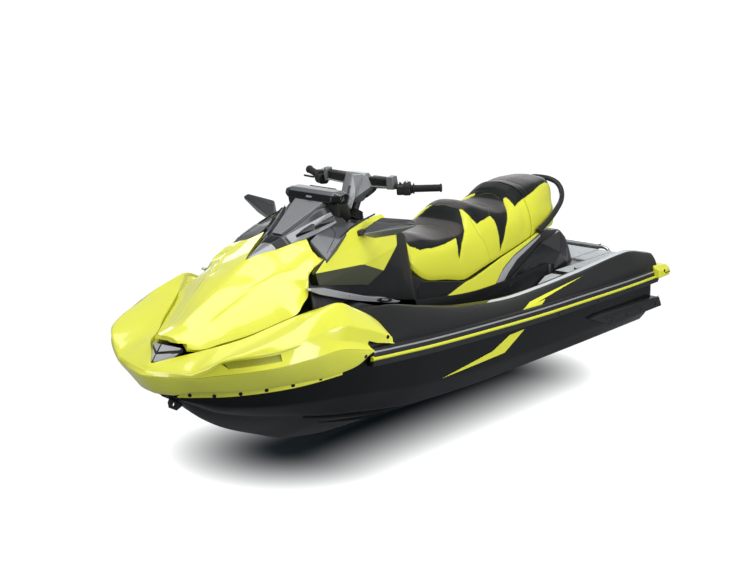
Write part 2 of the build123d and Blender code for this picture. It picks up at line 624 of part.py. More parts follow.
mat_gap = 12
centre_mat = block(-1688, -1400, -170, 170, PLATFORM_FLOOR, PLATFORM_FLOOR + MAT_THICK)
side_mat = block(-1688, -1012, 262, 446, PLATFORM_FLOOR, PLATFORM_FLOOR + MAT_THICK)
corner_mat = block(-1688, -1400, 182, 254, PLATFORM_FLOOR, PLATFORM_FLOOR + MAT_THICK)
nodes["aft_deck_mats"] = gather(centre_mat, side_mat, mirrored(side_mat), corner_mat, mirrored(corner_mat))
foot_mat = block(WELL_REAR + 14, WELL_FRONT - 60, WELL_INNER + 10, WELL_OUTER - 10, WELL_FLOOR,
                 WELL_FLOOR + MAT_THICK)
nodes["footwell_mats"] = gather(foot_mat, mirrored(foot_mat))

# ---------------------------------------------------------------- outside trim
rub_rows = monotone(RUB_RAIL, 10)
rub = skin([[(x, y - 16, z - 44), (x, y + 10, z - 40), (x, y + 21, z - 6), (x, y + 21, z + 8),
             (x, y + 8, z + 42), (x, y - 16, z + 44)] for x, y, z in rub_rows])
rub = rub - deck_form - hull_form - nodes["nose_fender"] - nodes["bow_fairing"]
nodes["rub_rails"] = gather(rub, mirrored(rub))

cap = skin([
    [(x, 470, z) for x, z in ((-1702, 462), (-1790, 462), (-1790, 510), (-1702, 530))],
    [(x, 560, z) for x, z in ((-1640, 448), (-1785, 452), (-1785, 512), (-1640, 520))],
    [(x, 596, z) for x, z in ((-1640, 455), (-1755, 460), (-1755, 502), (-1640, 506))],
])
cap = cap - deck_form - hull_form - rub
nodes["stern_corner_caps"] = gather(cap, mirrored(cap))

sponson = skin([
    [(x, 500, z) for x, z in ((-900, 372), (-1110, 300), (-1685, 298), (-1652, 352), (-1000, 384))],
    [(x, 590, z) for x, z in ((-905, 368), (-1122, 289), (-1690, 292), (-1656, 349), (-1000, 376))],
])
sponson = sponson - hull_form
nodes["sponson_port"] = gather(sponson)
nodes["sponson_starboard"] = gather(mirrored(sponson))


def eye(x, z, y, reach):
    plate = side_plate([(x - reach, z - 24), (x + reach, z - 24), (x + reach, z + 24), (x - reach, z + 24)],
                       y - EYE_THICK / 2, y + EYE_THICK / 2)
    return plate - rod((x, y - 20, z), (x, y + 20, z), EYE_R)


bow_eye = side_plate([(sx(1548), 384), (sx(1592), 368), (sx(1630), 388), (sx(1636), 414), (sx(1616), 442),
                      (sx(1552), 418)], -EYE_THICK / 2, EYE_THICK / 2)
bow_eye = bow_eye - rod((sx(1606), -20, 398), (sx(1606), 20, 398), EYE_R)
nodes["bow_eye"] = gather(bow_eye - hull_form)
stern_eye = eye(sx(TRANSOM) - 22, 380, sy(400), 26)
nodes["stern_eyes"] = gather(stern_eye - hull_form, mirrored(stern_eye) - hull_form)

ride = skin([
    [(x, -198 / KY, 89), (x, 0, 0.5), (x, 198 / KY, 89), (x, 198 / KY, 98), (x, 0, 9.5), (x, -198 / KY, 98)]
    for x in (-1640, -1160)])
nodes["ride_plate"] = gather(ride)

grate_bars = []
for gy in (-66, -22, 22, 66):
    gz = abs(gy) * 0.45
    grate_bars.append(solid_box(sx(-1010), sx(-480), gy - 4, gy + 4, gz + 6, gz + 20))
cross_bar = solid_box(sx(-760) - 5, sx(-760) + 5, -100, 100, 20, 32)
grate = cross_bar
for bar_piece in grate_bars:
    grate = grate + bar_piece
nodes["intake_grate"] = gather(grate - nodes["lower_hull"] - nodes["intake_duct"])

# ---------------------------------------------------------------- jet pump
PX, PZ = sx(0), PUMP_HEIGHT
front_x = sx(TUNNEL_FRONT)
rear_x = sx(PUMP_REAR)
bore_r = IMPELLER_R + IMPELLER_GAP
housing = rod((front_x, 0, PZ), (rear_x, 0, PZ), bore_r + PUMP_WALL)
housing = housing + solid_box(front_x - 16, front_x, -118, 118, PZ - 82, PZ + 118)
housing = housing - rod((front_x + 1, 0, PZ), (rear_x - 1, 0, PZ), bore_r)
hub = rod((rear_x + 110, 0, PZ), (rear_x, 0, PZ), 30)
vanes = []
for i in range(6):
    vane = solid_box(rear_x + 12, rear_x + 104, -2.5, 2.5, 28, bore_r + 3)
    vanes.append(Pos(0, 0, PZ) * (Rot(i * 60, 0, 0) * vane))
for vane in vanes:
    housing = housing + vane
housing = housing + hub
neck_x = rear_x - 40
out_x = sx(NOZZLE_PIVOT) - 12
outlet_profile = [(rear_x, bore_r), (rear_x, bore_r + PUMP_WALL - 3), (neck_x, OUTLET_R + OUTLET_WALL),
                  (out_x, OUTLET_R + OUTLET_WALL), (out_x, OUTLET_R), (neck_x, OUTLET_R)]
outlet_face = Face(Wire.make_polygon([Vector(x, 0, PZ + r) for x, r in outlet_profile], close=True))
nodes["jet_outlet"] = gather(revolve(outlet_face, axis=Axis((0, 0, PZ), (1, 0, 0))))

nozzle_out = NOZZLE_R + NOZZLE_WALL
trim_in = nozzle_out + TRIM_GAP
trim_out = trim_in + TRIM_WALL
ear_in = max(trim_out + MOVING_GAP, bore_r + PUMP_WALL + 1)
ear_out = ear_in + EAR_THICK
bucket_in = ear_out + MOVING_GAP
bucket_out = bucket_in + BUCKET_WALL
pivot_x = sx(NOZZLE_PIVOT)
bucket_x = sx(BUCKET_PIVOT)
ear = solid_box(bucket_x - 14, rear_x + 10, ear_in, ear_out, PZ - 14, PZ + 14)
ear_root = solid_box(rear_x, rear_x + 24, bore_r + 3, ear_out, PZ - 22, PZ + 22)
trim_pin = rod((pivot_x, trim_in + 1, PZ), (pivot_x, ear_in + 1, PZ), PIN_R)
bucket_pin = rod((bucket_x, ear_out - 1, PZ), (bucket_x, bucket_out + 2, PZ), PIN_R)
carrier = ear + ear_root + trim_pin + bucket_pin
nodes["pump_housing"] = gather(housing + carrier + mirrored(carrier))

trim_ring = pipe((pivot_x + 15, 0, PZ), (pivot_x - 15, 0, PZ), trim_out, trim_in)
trim_ring = trim_ring - rod((pivot_x, -200, PZ), (pivot_x, 200, PZ), PIN_R + PIN_CLEAR)
for s in (-1, 1):
    trim_ring = trim_ring + rod((pivot_x, 0, PZ + s * (NOZZLE_R + 1)), (pivot_x, 0, PZ + s * (trim_in + 2)), PIN_R)
nodes["trim_ring"] = gather(trim_ring)

nozzle_front = pivot_x + 9
nozzle_len = nozzle_front - sx(NOZZLE_END)
nozzle = Solid.make_cone(nozzle_out, OUTLET_R + 6, nozzle_len, Plane(origin=(nozzle_front, 0, PZ), z_dir=(-1, 0, 0)))
nozzle = nozzle - Solid.make_cone(NOZZLE_R, OUTLET_R + 1, nozzle_len, Plane(origin=(nozzle_front, 0, PZ), z_dir=(-1, 0, 0)))
nozzle = nozzle - rod((pivot_x, 0, PZ - 200), (pivot_x, 0, PZ + 200), PIN_R + PIN_CLEAR)
nodes["steering_nozzle"] = gather(nozzle)

bucket_arc = 42.0
raised = 80.0


def bucket_point(radius, angle):
    a = math.radians(angle)
    return (bucket_x - radius * math.cos(a), PZ + radius * math.sin(a))


arc_angles = [raised - bucket_arc + bucket_arc * 2 * i / 10 for i in range(11)]
scoop_outline = [bucket_point(BUCKET_R + BUCKET_WALL, a) for a in arc_angles]
scoop_inner = [bucket_point(BUCKET_R, a) for a in reversed(arc_angles)]
scoop = side_plate(scoop_outline + scoop_inner, -bucket_out, bucket_out)
cheek_outline = [bucket_point(16, raised + 180 - 60), bucket_point(16, raised + 180 + 60)] + scoop_outline
cheek = side_plate(cheek_outline, bucket_in, bucket_out)
bucket = scoop + cheek + mirrored(cheek)
bucket = bucket - rod((bucket_x, -200, PZ), (bucket_x, 200, PZ), PIN_R + PIN_CLEAR)
nodes["reverse_bucket"] = gather(bucket)

impeller_x = (sx(-1240), sx(-1340))
impeller = rod((impeller_x[0], 0, PZ), (impeller_x[1], 0, PZ), 30)
blade_len = impeller_x[0] - impeller_x[1] - 16
for i in range(3):
    blade = solid_box(impeller_x[1] + 8, impeller_x[0] - 8, -3, 3, 26, IMPELLER_R - 2)
    blade = Rot(i * 120, 0, 0) * (Pos((impeller_x[0] + impeller_x[1]) / 2, 0, 0) * (Rot(0, 0, 42) * (
        Pos(-(impeller_x[0] + impeller_x[1]) / 2, 0, 0) * blade)))
    impeller = impeller + Pos(0, 0, PZ) * blade
impeller = impeller & rod((impeller_x[0] + 5, 0, PZ), (impeller_x[1] - 5, 0, PZ), IMPELLER_R)
shaft = rod((impeller_x[0], 0, PZ), (sx(-150) - ENGINE_LENGTH / 2 - MOVING_GAP, 0, PZ), SHAFT_R)
nodes["impeller"] = gather(impeller)
nodes["drive_shaft"] = gather(shaft)

# ---------------------------------------------------------------- boarding step
step_x = sx(STEP_PIVOT_X)
tread_z = STEP_PIVOT_Z + STEP_DROP
frame_points = [(step_x, -STEP_HALF, STEP_PIVOT_Z), (step_x, -STEP_HALF, tread_z), (step_x, STEP_HALF, tread_z),
                (step_x, STEP_HALF, STEP_PIVOT_Z)]
step = tube(frame_points, STEP_R, 40)
for s in (-1, 1):
    step = step + rod((step_x, s * (STEP_HALF - 12), STEP_PIVOT_Z), (step_x, s * (STEP_HALF + 12), STEP_PIVOT_Z), 14)
step = step - rod((step_x, -300, STEP_PIVOT_Z), (step_x, 300, STEP_PIVOT_Z), PIN_R + PIN_CLEAR)
tread = solid_box(step_x - 22, step_x + 9, -150, 150, tread_z - 15, tread_z + 15)
nodes["boarding_step"] = gather(step + tread)
brackets = []
for s in (-1, 1):
    base = s * STEP_HALF
    post = solid_box(step_x + 22, sx(TRANSOM), base - 30, base + 30, STEP_PIVOT_Z - 22, STEP_PIVOT_Z + 22)
    for e in (-1, 1):
        post = post + solid_box(step_x - 14, step_x + 24, base + e * 24 - 6, base + e * 24 + 6, STEP_PIVOT_Z - 16,
                                STEP_PIVOT_Z + 16)
    post = post + rod((step_x, base - 28, STEP_PIVOT_Z), (step_x, base + 28, STEP_PIVOT_Z), PIN_R)
    brackets.append(post)
nodes["step_brackets"] = gather(brackets[0] - hull_form, brackets[1] - hull_form)

# ---------------------------------------------------------------- write one file a node
os.makedirs("parts", exist_ok=True)
for name, shape in nodes.items():
    solids = [s for s in shape.solids() if s.volume > 50.0]
    if not solids:
        print("EMPTY", name)
        continue
    export_step(Compound(children=[s.moved(Pos(0, 0, -WATERLINE)) for s in solids]), f"parts/{name}.step")
print(len(nodes), "nodes")
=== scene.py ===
"""Runabout personal watercraft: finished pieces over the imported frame, laid out as an add-on."""
import math

import bmesh
import bpy
from bpy.props import FloatProperty, FloatVectorProperty, PointerProperty
from bpy.types import Operator, Panel, PropertyGroup
from mathutils import Matrix, Vector
from mathutils.bvhtree import BVHTree


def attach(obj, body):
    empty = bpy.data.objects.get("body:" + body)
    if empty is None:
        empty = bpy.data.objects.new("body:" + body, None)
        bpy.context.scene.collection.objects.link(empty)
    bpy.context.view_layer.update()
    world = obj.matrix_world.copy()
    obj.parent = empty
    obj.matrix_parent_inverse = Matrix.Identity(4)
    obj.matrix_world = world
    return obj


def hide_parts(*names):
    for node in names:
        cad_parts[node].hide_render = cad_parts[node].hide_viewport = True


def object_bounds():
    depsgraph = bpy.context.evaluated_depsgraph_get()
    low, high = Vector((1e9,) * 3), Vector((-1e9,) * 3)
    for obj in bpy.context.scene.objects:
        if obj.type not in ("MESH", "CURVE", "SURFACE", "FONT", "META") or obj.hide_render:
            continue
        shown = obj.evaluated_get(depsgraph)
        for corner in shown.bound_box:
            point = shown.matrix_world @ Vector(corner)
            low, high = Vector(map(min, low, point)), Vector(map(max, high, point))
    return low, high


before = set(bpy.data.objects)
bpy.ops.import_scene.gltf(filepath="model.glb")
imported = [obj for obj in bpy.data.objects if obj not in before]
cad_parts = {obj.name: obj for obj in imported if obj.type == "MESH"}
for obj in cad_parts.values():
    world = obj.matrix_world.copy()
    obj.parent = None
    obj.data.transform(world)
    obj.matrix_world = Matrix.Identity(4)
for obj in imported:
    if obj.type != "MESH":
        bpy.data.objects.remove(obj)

bl_info = {
    "name": "Runabout Watercraft",
    "version": (1, 0, 0),
    "blender": (4, 5, 0),
    "location": "3D View > Sidebar > Watercraft",
    "description": "Builds the finished pieces of a three-seat runabout watercraft",
    "category": "Object",
}

CAD_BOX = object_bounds()
WATERLINE = 290.0          # keel to water, mm

# ---------------------------------------------------------------- named measures, mm unless said otherwise
FLAT = 1.5                                              # degrees under which two faces become one
FILM_START, FILM_PITCH, FILM_LIFT, FILM_THICKNESS = 900.0, 14.0, 0.7, 0.5
VENT_DEPTH, VENT_BACK = 13, 3                           # grille pockets and the plates of painted shadow at their bottom
FAIRING_SWEEP, FENDER_SWEEP = 59.5, 73.0                # degrees of the fan to each side
HOOD_THICK = 18
RIB_PITCH, RIB_RADIUS = 13, 0.0022                      # ribs of the mats; the radius in m
WELL = (272, 448, -1000, 750)                           # footwells: inner and outer edge, aft and fore end
WELL_FLOOR, PLATFORM_FLOOR = 360, 550
BAY = (-600, 300, -225, 225, 140)                       # engine bay: x, y and its floor
HATCH = (-430, 150, -120, 120, 300, 1100, 30)           # service hatch under the front seat
STEER_WAY = Vector((-0.451, 0, 0.893)).normalized()     # rake of the steering shaft
SHAFT_X, SHAFT_ROOM = 372, 28                           # where it leaves the console, radius round it
SEAT_SPLIT = -884                                       # front seat ahead, rear seat behind
OVER_CROWN = -60.0                                      # dark patches that cross the middle end here
FAR_FROM_SEAM = 400.0
PUFF, PUFF_REACH = 2.6, 16.0                            # fullness of the seat panels
TUCK, TUCK_REACH, SKIN_IN = 3.4, 3.2, 1.6               # how deep and wide the seams pull in
TOP_LIGHT_SLOPE, TOP_LIGHT_FADE = 0.84, 0.09                        # upward part of the normal where the grips' painted top light starts, and the rise over which it comes in
SEAM_OFFSET, PATCH_OFFSET = 5.5, 6.5                    # stitches beside a seam, and beside a patch's edge
FLOOR_GAP, FLOOR_HALF = 0.004, 40                       # m, floor under the keel and half its side

# ---------------------------------------------------------------- outline tables, mm above the keel
# keel height, inner chine (y, z), outer chine (y, z), bond line (y, z)
HULL = [
    (-1620, 0, 455, 205, 548, 300, 548, 455),
    (-900, 0, 460, 205, 560, 300, 570, 468),
    (-100, 0, 460, 208, 562, 310, 572, 495),
    (500, 6, 440, 225, 556, 342, 570, 525),
    (850, 50, 375, 255, 530, 378, 553, 545),
    (1100, 134, 290, 285, 470, 395, 505, 530),
    (1300, 215, 190, 310, 375, 395, 415, 508),
    (1450, 300, 105, 345, 255, 398, 290, 486),
    (1580, 400, 45, 412, 110, 430, 130, 474),
    (1670, 452, 10, 455, 18, 460, 22, 470),
]
# bond line (y, z), knuckle (y, z), gunwale top (y, z)
DECK = [
    (-1700, 545, 456, 540, 520, 500, 580),
    (-1420, 556, 460, 548, 540, 497, 630),
    (-900, 570, 468, 560, 540, 500, 604),
    (-350, 572, 485, 562, 545, 497, 588),
    (100, 572, 503, 560, 570, 490, 625),
    (450, 571, 522, 556, 600, 478, 690),
    (700, 563, 535, 548, 620, 460, 740),
    (900, 547, 545, 530, 620, 430, 750),
    (1250, 445, 512, 435, 590, 300, 700),
    (1500, 245, 482, 240, 550, 150, 635),
    (1620, 75, 472, 70, 520, 50, 585),
]
# ridge height, first crease (y, z), second crease (y, z), lower edge (y, z)
HOOD = [
    (1672, 722, 28, 718, 46, 711, 60, 678),
    (1570, 738, 50, 730, 80, 712, 142, 666),
    (1500, 772, 60, 750, 98, 732, 182, 682),
    (1390, 829, 80, 812, 128, 786, 247, 708),
    (1250, 900, 115, 880, 165, 853, 317, 755),
    (1190, 931, 127, 898, 190, 873, 350, 780),
    (1120, 966, 140, 925, 220, 895, 326, 808),
    (1047, 1000, 153, 945, 282, 905, 295, 845),
    (1040, 1002, 154, 947, 281, 908, 285, 902),
    (950, 1035, 170, 977, 270, 958, 275, 951),
    (850, 1075, 190, 1010, 262, 985, 268, 978),
]
# plan of everything aft of the hood's trailing edge, and of the hood's front edge
HOOD_REAR = [
    (1136, 0), (1000, 68), (900, 108), (862, 128), (905, 200), (945, 300), (1047, 320), (1185, 372), (1185, 640),
    (700, 640), (700, -640), (1185, -640), (1185, -372), (1047, -320), (945, -300), (905, -200), (862, -128),
    (900, -108), (1000, -68),
]
HOOD_FRONT = [(1672, 0), (1634, 84), (1606, 112)]
# the nose mouldings are drawn as a fan about this point
FAN_X = 600.0
CREASE = [
    (1790, 0, 571), (1721.7, 205, 578.4), (1716, 222, 579), (1705.6, 238, 581.8), (1672, 290, 591), (1628, 350, 600),
    (1580, 406, 608), (1525, 458, 617), (1440, 500, 623), (1362, 522, 629), (1274, 548, 637), (1160, 566, 644),
    (1060, 580, 628), (981, 588, 610), (940, 592, 604), (800, 592, 604), (740, 592, 604),
]
LIP = [
    (1716, 0, 474), (1700, 90, 478), (1676, 160, 497.3), (1672, 170, 500), (1661, 184, 500.3), (1600, 262, 502),
    (1500, 345, 500), (1400, 400, 502), (1290, 448, 505), (1180, 498, 512), (1100, 536, 526), (1030, 566, 548),
    (965, 586, 590), (940, 590, 600),
]
SHOULDER = [
    (1778, 0, 584), (1724.6, 199, 591.4), (1720, 216, 592), (1711, 232, 599.7), (1690, 270, 618), (1650, 330, 660),
    (1580, 398, 678), (1500, 440, 684), (1430, 472, 690), (1340, 505, 708), (1192, 515, 726), (1080, 534, 734),
    (994, 548, 707), (914, 554, 682), (839, 567, 651), (792, 580, 622), (740, 586, 600),
]
RIDGE = [
    (1766, 0, 594), (1706, 206, 608), (1664, 272, 640), (1628, 330, 672), (1562, 388, 694), (1470, 426, 716),
    (1341, 446, 744), (1224, 454, 784), (1056, 468, 812), (930, 474, 765), (800, 486, 696), (740, 490, 660),
]
CREST = [
    (1735, 0, 614), (1660, 70, 636), (1590, 146, 660), (1500, 190, 675), (1410, 250, 700),
    (1300, 305, 738), (1190, 362, 776), (1110, 412, 800), (1052, 448, 814), (930, 448, 768), (800, 446, 704),
    (740, 444, 670),
]
# concave line between crease and shoulder: fan angle, then place and offset of its lower and upper edges
LEDGE = [
    (0, 0.45, 0, 0.55, 0), (10, 0.10, 0, 0.18, 0), (11.5, 0.03, 0, 0.09, 0), (17.4, 0.84, -9, 0.93, 0),
    (24, 0.82, -10, 0.92, 0), (30.5, 0.84, -9, 0.93, 0), (35, 0.80, 0, 0.90, 0), (39, 0.80, 0, 0.88, 0),
    (44, 0.56, -12, 0.62, -11), (48, 0.38, -22, 0.42, -21), (54, 0.38, -28, 0.42, -27),
    (60.3, 0.36, -32, 0.40, -31), (67, 0.30, -28, 0.34, -27), (74, 0.30, -20, 0.34, -19),
]
# windscreen cowl: ridge height, top edge (y, z), side edge (y, z), foot height
COWL = [
    (1116, 966, 5, 963, 10, 955, 940),
    (1000, 1007, 28, 1003, 52, 985, 930),
    (900, 1047, 45, 1045, 92, 1008, 930),
    (800, 1098, 62, 1092, 130, 1035, 940),
    (700, 1152, 105, 1146, 165, 1065, 950),
    (610, 1120, 110, 1110, 165, 1065, 960),
]
# cockpit console: shoulder (y, z), top edge (y, z), top centre, foot (y, z)
CONSOLE = [
    (985, 238, 895, 180, 915, 925, 290, 600),
    (930, 245, 910, 180, 925, 935, 300, 600),
    (840, 262, 945, 175, 985, 995, 310, 600),
    (700, 252, 1000, 165, 1030, 1040, 318, 600),
    (500, 240, 1045, 150, 1050, 1052, 318, 600),
    (360, 222, 1020, 140, 1024, 1024, 310, 600),
    (230, 200, 968, 120, 978, 978, 285, 600),
    (205, 196, 955, 118, 966, 966, 280, 560),
]
# seats: crown height, crown edge (y, z), flank (y, z), foot (y, z)
SEAT = [
    (196, 872, 90, 868, 175, 845, 225, 792),
    (180, 922, 118, 915, 198, 860, 236, 772),
    (60, 925, 138, 915, 215, 850, 240, 704),
    (-90, 898, 150, 888, 222, 845, 240, 680),
    (-250, 892, 152, 884, 218, 838, 240, 652),
    (-340, 916, 144, 910, 207, 846, 238, 666),
    (-400, 985, 114, 968, 200, 866, 236, 678),
    (-470, 1000, 114, 988, 202, 884, 234, 690),
    (-560, 975, 124, 964, 208, 885, 230, 706),
    (-660, 950, 146, 940, 214, 885, 228, 724),
    (-760, 958, 144, 945, 212, 890, 226, 743),
    (-840, 1015, 122, 994, 196, 904, 222, 757),
    (-880, 1038, 122, 1016, 196, 914, 220, 765),
]
REAR_SEAT = [
    (-888, 1040, 122, 1018, 196, 914, 220, 766),
    (-960, 1040, 128, 1022, 199, 918, 212, 778),
    (-1050, 1045, 132, 1028, 184, 918, 204, 782),
    (-1150, 1044, 120, 1028, 160, 912, 182, 779),
    (-1225, 1030, 100, 1016, 122, 908, 142, 778),
    (-1262, 1012, 78, 1000, 94, 905, 112, 782),
]
# seat base: side foot (y, z), side top (y, z)
PEDESTAL = [
    (202, 262, 560, 238, 765),
    (60, 266, 520, 242, 703),
    (-90, 268, 520, 242, 679),
    (-250, 268, 520, 242, 651),
    (-340, 268, 520, 240, 665),
    (-560, 268, 520, 234, 705),
    (-760, 268, 520, 228, 742),
    (-888, 266, 520, 222, 765),
    (-1000, 256, 520, 214, 776),
    (-1120, 240, 520, 196, 768),
    (-1250, 225, 520, 166, 747),
    (-1310, 208, 530, 154, 714),
    (-1372, 186, 530, 148, 652),
    (-1385, 180, 530, 140, 604),
]
# rub rail: half width, height of its middle
RUB_RAIL = [
    (-1700, 545, 462), (-1400, 556, 466), (-900, 571, 480), (-400, 576, 492), (100, 576, 512),
    (500, 575, 532), (800, 570, 552), (930, 562, 560),
]
# dark patches of the seats, outlines on the port half as (x, y, z), and the seams between their panels
SEAT_PATCHES = [
    [(230, 0, 900), (200, 104, 900), (150, 128, 908), (145, 182, 883), (96, 206, 860), (6, 213, 854), (-113, 207, 859),
     (-231, 190, 868), (-212, 215, 845), (-199, 231, 800), (-202, 234, 766), (-222, 231, 800), (-248, 222, 836),
     (-288, 200, 862), (-325, 176, 887), (-370, 134, 937), (-388, 104, 962), (-400, 84, 974), (-411, 104, 976),
     (-410, 124, 974), (-413, 172, 945), (-429, 199, 915), (-455, 197, 921), (-489, 194, 926), (-559, 178, 934),
     (-570, 205, 905), (-570, 218, 860), (-574, 228, 800), (-579, 229, 737), (-594, 228, 770), (-612, 227, 795),
     (-641, 218, 863), (-709, 178, 922), (-773, 118, 953), (-798, 90, 972), (-812, 106, 980), (-808, 130, 970),
     (-799, 170, 942), (-840, 168, 958), (-888, 166, 970), (-940, 162, 985), (-960, 0, 1040)],
    [(-820, 0, 1003), (-830, 168, 955), (-888, 166, 970), (-1000, 156, 999), (-1125, 132, 1023), (-1200, 120, 1020),
     (-1300, 112, 1000), (-1300, 0, 1010)],
]
SEAT_SEAMS = [
    [(-277, 0, 895), (-277, 25, 895), (-265, 116, 888), (-231, 190, 868)],
    [(-406, 0, 986), (-405, 30, 985), (-402, 60, 980)],
    [(-666, 0, 951), (-666, 22, 950), (-647, 87, 947), (-600, 145, 944), (-559, 178, 934)],
    [(-815, 0, 995), (-810, 30, 990), (-800, 70, 975)],
    [(-413, 150, 958), (-402, 180, 932), (-408, 205, 895), (-416, 222, 863), (-440, 228, 820), (-459, 231, 784),
     (-483, 230, 700)],
]
# outlines of the bright flashes, (x, z) on the side they lie on
HULL_FLASH = [[(386, 340), (-19, 385), (-127, 354)], [(-19, 385), (-160, 437), (-295, 440), (-127, 354)]]
DECK_FLASH = [[(-251, 530), (-370, 559), (-418, 547), (-446, 528)], [(-418, 547), (-509, 550), (-446, 528)],
    [(-370, 559), (-927, 589), (-418, 547)]]


# ---------------------------------------------------------------- shape helpers
def at(x, y, z):
    """A point of the tables, in metres from the waterline origin."""
    return Vector((x / 1000.0, y / 1000.0, (z - WATERLINE) / 1000.0))


def fair_value(xs, ys, x):
    """Value at x of the fair curve through a table."""
    n = len(xs)
    h = [xs[i + 1] - xs[i] for i in range(n - 1)]
    d = [(ys[i + 1] - ys[i]) / h[i] for i in range(n - 1)]
    m = [d[0]]
    for i in range(1, n - 1):
        if d[i - 1] * d[i] <= 0:
            m.append(0.0)
        else:
            w1, w2 = 2 * h[i] + h[i - 1], h[i] + 2 * h[i - 1]
            m.append((w1 + w2) / (w1 / d[i - 1] + w2 / d[i]))
    m.append(d[-1])
    for i in range(n - 1):
        t = (x - xs[i]) / h[i]
        if -1e-9 <= t <= 1 + 1e-9:
            a = (1 + 2 * t) * (1 - t) ** 2 * ys[i] + t * (1 - t) ** 2 * h[i] * m[i]
            return a + t * t * (3 - 2 * t) * ys[i + 1] + t * t * (t - 1) * h[i] * m[i + 1]
    return ys[-1] if abs(x - xs[-1]) < abs(x - xs[0]) else ys[0]


def row_at(table, x):
    """A table's row at any x, by the fair curves through its columns."""
    xs = [row[0] for row in table]
    return tuple([x] + [fair_value(xs, [row[c] for row in table], x) for c in range(1, len(table[0]))])


def fair(table, pitch):
    """Fill a table of stations in with a fair curve, at about the given pitch."""
    xs = [row[0] for row in table]
    wanted = []
    for a, b in zip(xs, xs[1:]):
        n = max(1, round(abs(b - a) / pitch))
        wanted += [a + (b - a) * i / n for i in range(n)]
    wanted.append(xs[-1])
    return [row_at(table, x) for x in wanted]


def section(corners, bulge=(), n=5, reach=8.0, arc=3):
    """A half section with bulged spans and rounded corners; reach is how far each corner's arc runs."""
    out = []
    last = len(corners) - 2
    spans = []
    for i, (a, b) in enumerate(zip(corners, corners[1:])):
        length = math.hypot(b[0] - a[0], b[1] - a[1])
        count = n[i] if isinstance(n, (list, tuple)) else n
        swell = bulge[i] if i < len(bulge) else 0.0
        r0 = 0.0 if i == 0 else (reach[i] if isinstance(reach, (list, tuple)) else reach)
        r1 = 0.0 if i == last else (reach[i + 1] if isinstance(reach, (list, tuple)) else reach)
        r0, r1 = min(r0, 0.4 * length), min(r1, 0.4 * length)
        s0 = r0 / length if length > 1e-6 else 0.0
        s1 = 1 - r1 / length if length > 1e-6 else 1.0
        ny, nz = ((b[1] - a[1]) / length, -(b[0] - a[0]) / length) if length > 1e-6 else (0.0, 0.0)
        spans.append([(a[0] + (b[0] - a[0]) * s + ny * 4 * swell * s * (1 - s), a[1] + (b[1] - a[1]) * s
            + nz * 4 * swell * s * (1 - s)) for s in (s0 + (s1 - s0) * j / count for j in range(count + 1))])
    for i, span in enumerate(spans):
        if i:
            p, c, q = out[-1], corners[i], span[0]
            for j in range(1, arc):
                t = j / arc
                out.append(((1 - t) ** 2 * p[0] + 2 * t * (1 - t) * c[0] + t * t * q[0],
                            (1 - t) ** 2 * p[1] + 2 * t * (1 - t) * c[1] + t * t * q[1]))
        out += span
    return out


def sided(points, side):
    """Port points as they are for side 1, on the starboard side for -1."""
    return [(x, y * side, z) for x, y, z in points]


def on_both(points):
    """All the port points, then the same on the starboard side."""
    return sided(points, 1) + sided(points, -1)


def paired(*points):
    """Each port point followed by its starboard twin; points on the middle line come once."""
    out = []
    for x, y, z in points:
        out += [(x, y, z), (x, -y, z)] if y else [(x, y, z)]
    return out


def both_sides(x, points):
    """Closed ring from a port half section."""
    return ([at(x, y, z) for y, z in points]
            + [at(x, -y, z) for y, z in reversed(points) if abs(y) > 1e-6])


def linked(name, data):
    obj = bpy.data.objects.new(name, data)
    bpy.context.scene.collection.objects.link(obj)
    return obj


def link(name, bm, turn=True):
    """A finished build mesh as an object, its faces turned outward unless they already are."""
    if turn:
        bmesh.ops.recalc_face_normals(bm, faces=bm.faces)
    me = bpy.data.meshes.new(name)
    bm.to_mesh(me)
    bm.free()
    return linked(name, me)


def modify(obj, kind, **settings):
    mod = obj.modifiers.new(kind.title(), kind)
    for label, value in settings.items():
        setattr(mod, label, value)
    return mod


def solid(name, rings, rounded_ends=True):
    """Closed loft through rings; the rims of its ends carry a bevel weight."""
    bm = bmesh.new()
    weight = bm.edges.layers.float.new("bevel_weight_edge")
    rows = [[bm.verts.new(p) for p in ring] for ring in rings]
    m = len(rings[0])
    for a, b in zip(rows, rows[1:]):
        for j in range(m):
            k = (j + 1) % m
            face = [a[j], a[k], b[k], b[j]]
            if len({tuple(v.co) for v in face}) > 2:
                bm.faces.new(face)
    bm.faces.new(list(reversed(rows[0])))
    bm.faces.new(rows[-1])
    if rounded_ends:
        for row in (rows[0], rows[-1]):
            for j in range(m):
                e = bm.edges.get((row[j], row[(j + 1) % m]))
                if e:
                    e[weight] = 1.0
    bmesh.ops.remove_doubles(bm, verts=bm.verts, dist=1e-6)
    return link(name, bm)


def freeze(obj):
    """Turn the live modifiers into a plain mesh."""
    dg = bpy.context.evaluated_depsgraph_get()
    dg.update()
    me = bpy.data.meshes.new_from_object(obj.evaluated_get(dg), preserve_all_data_layers=True, depsgraph=dg)
    old = obj.data
    obj.modifiers.clear()
    obj.data = me
    if old.users == 0:
        bpy.data.meshes.remove(old)
    me.name = obj.name
    return obj


def settle(obj, sharp=38.0):
    """Turn the live modifiers into a plain mesh and shade it, with edges over sharp degrees kept crisp."""
    freeze(obj)
    obj.data.shade_smooth()
    obj.data.set_sharp_from_angle(angle=math.radians(sharp))
    return obj


def soften(obj, width, segments=3, angle=None, sharp=38.0):
    """Round the marked edges, or every edge sharper than angle."""
    edges = dict(limit_method="WEIGHT") if angle is None else dict(
        limit_method="ANGLE", angle_limit=math.radians(angle), miter_outer="MITER_ARC")
    modify(obj, "BEVEL", width=width / 1000.0, segments=segments, use_clamp_overlap=True, **edges)
    return settle(obj, sharp)


def even_shading(obj):
    """Let wide faces keep their own shading beside narrow rounded ones."""
    modify(obj, "WEIGHTED_NORMAL", keep_sharp=True, weight=50)
    return freeze(obj)


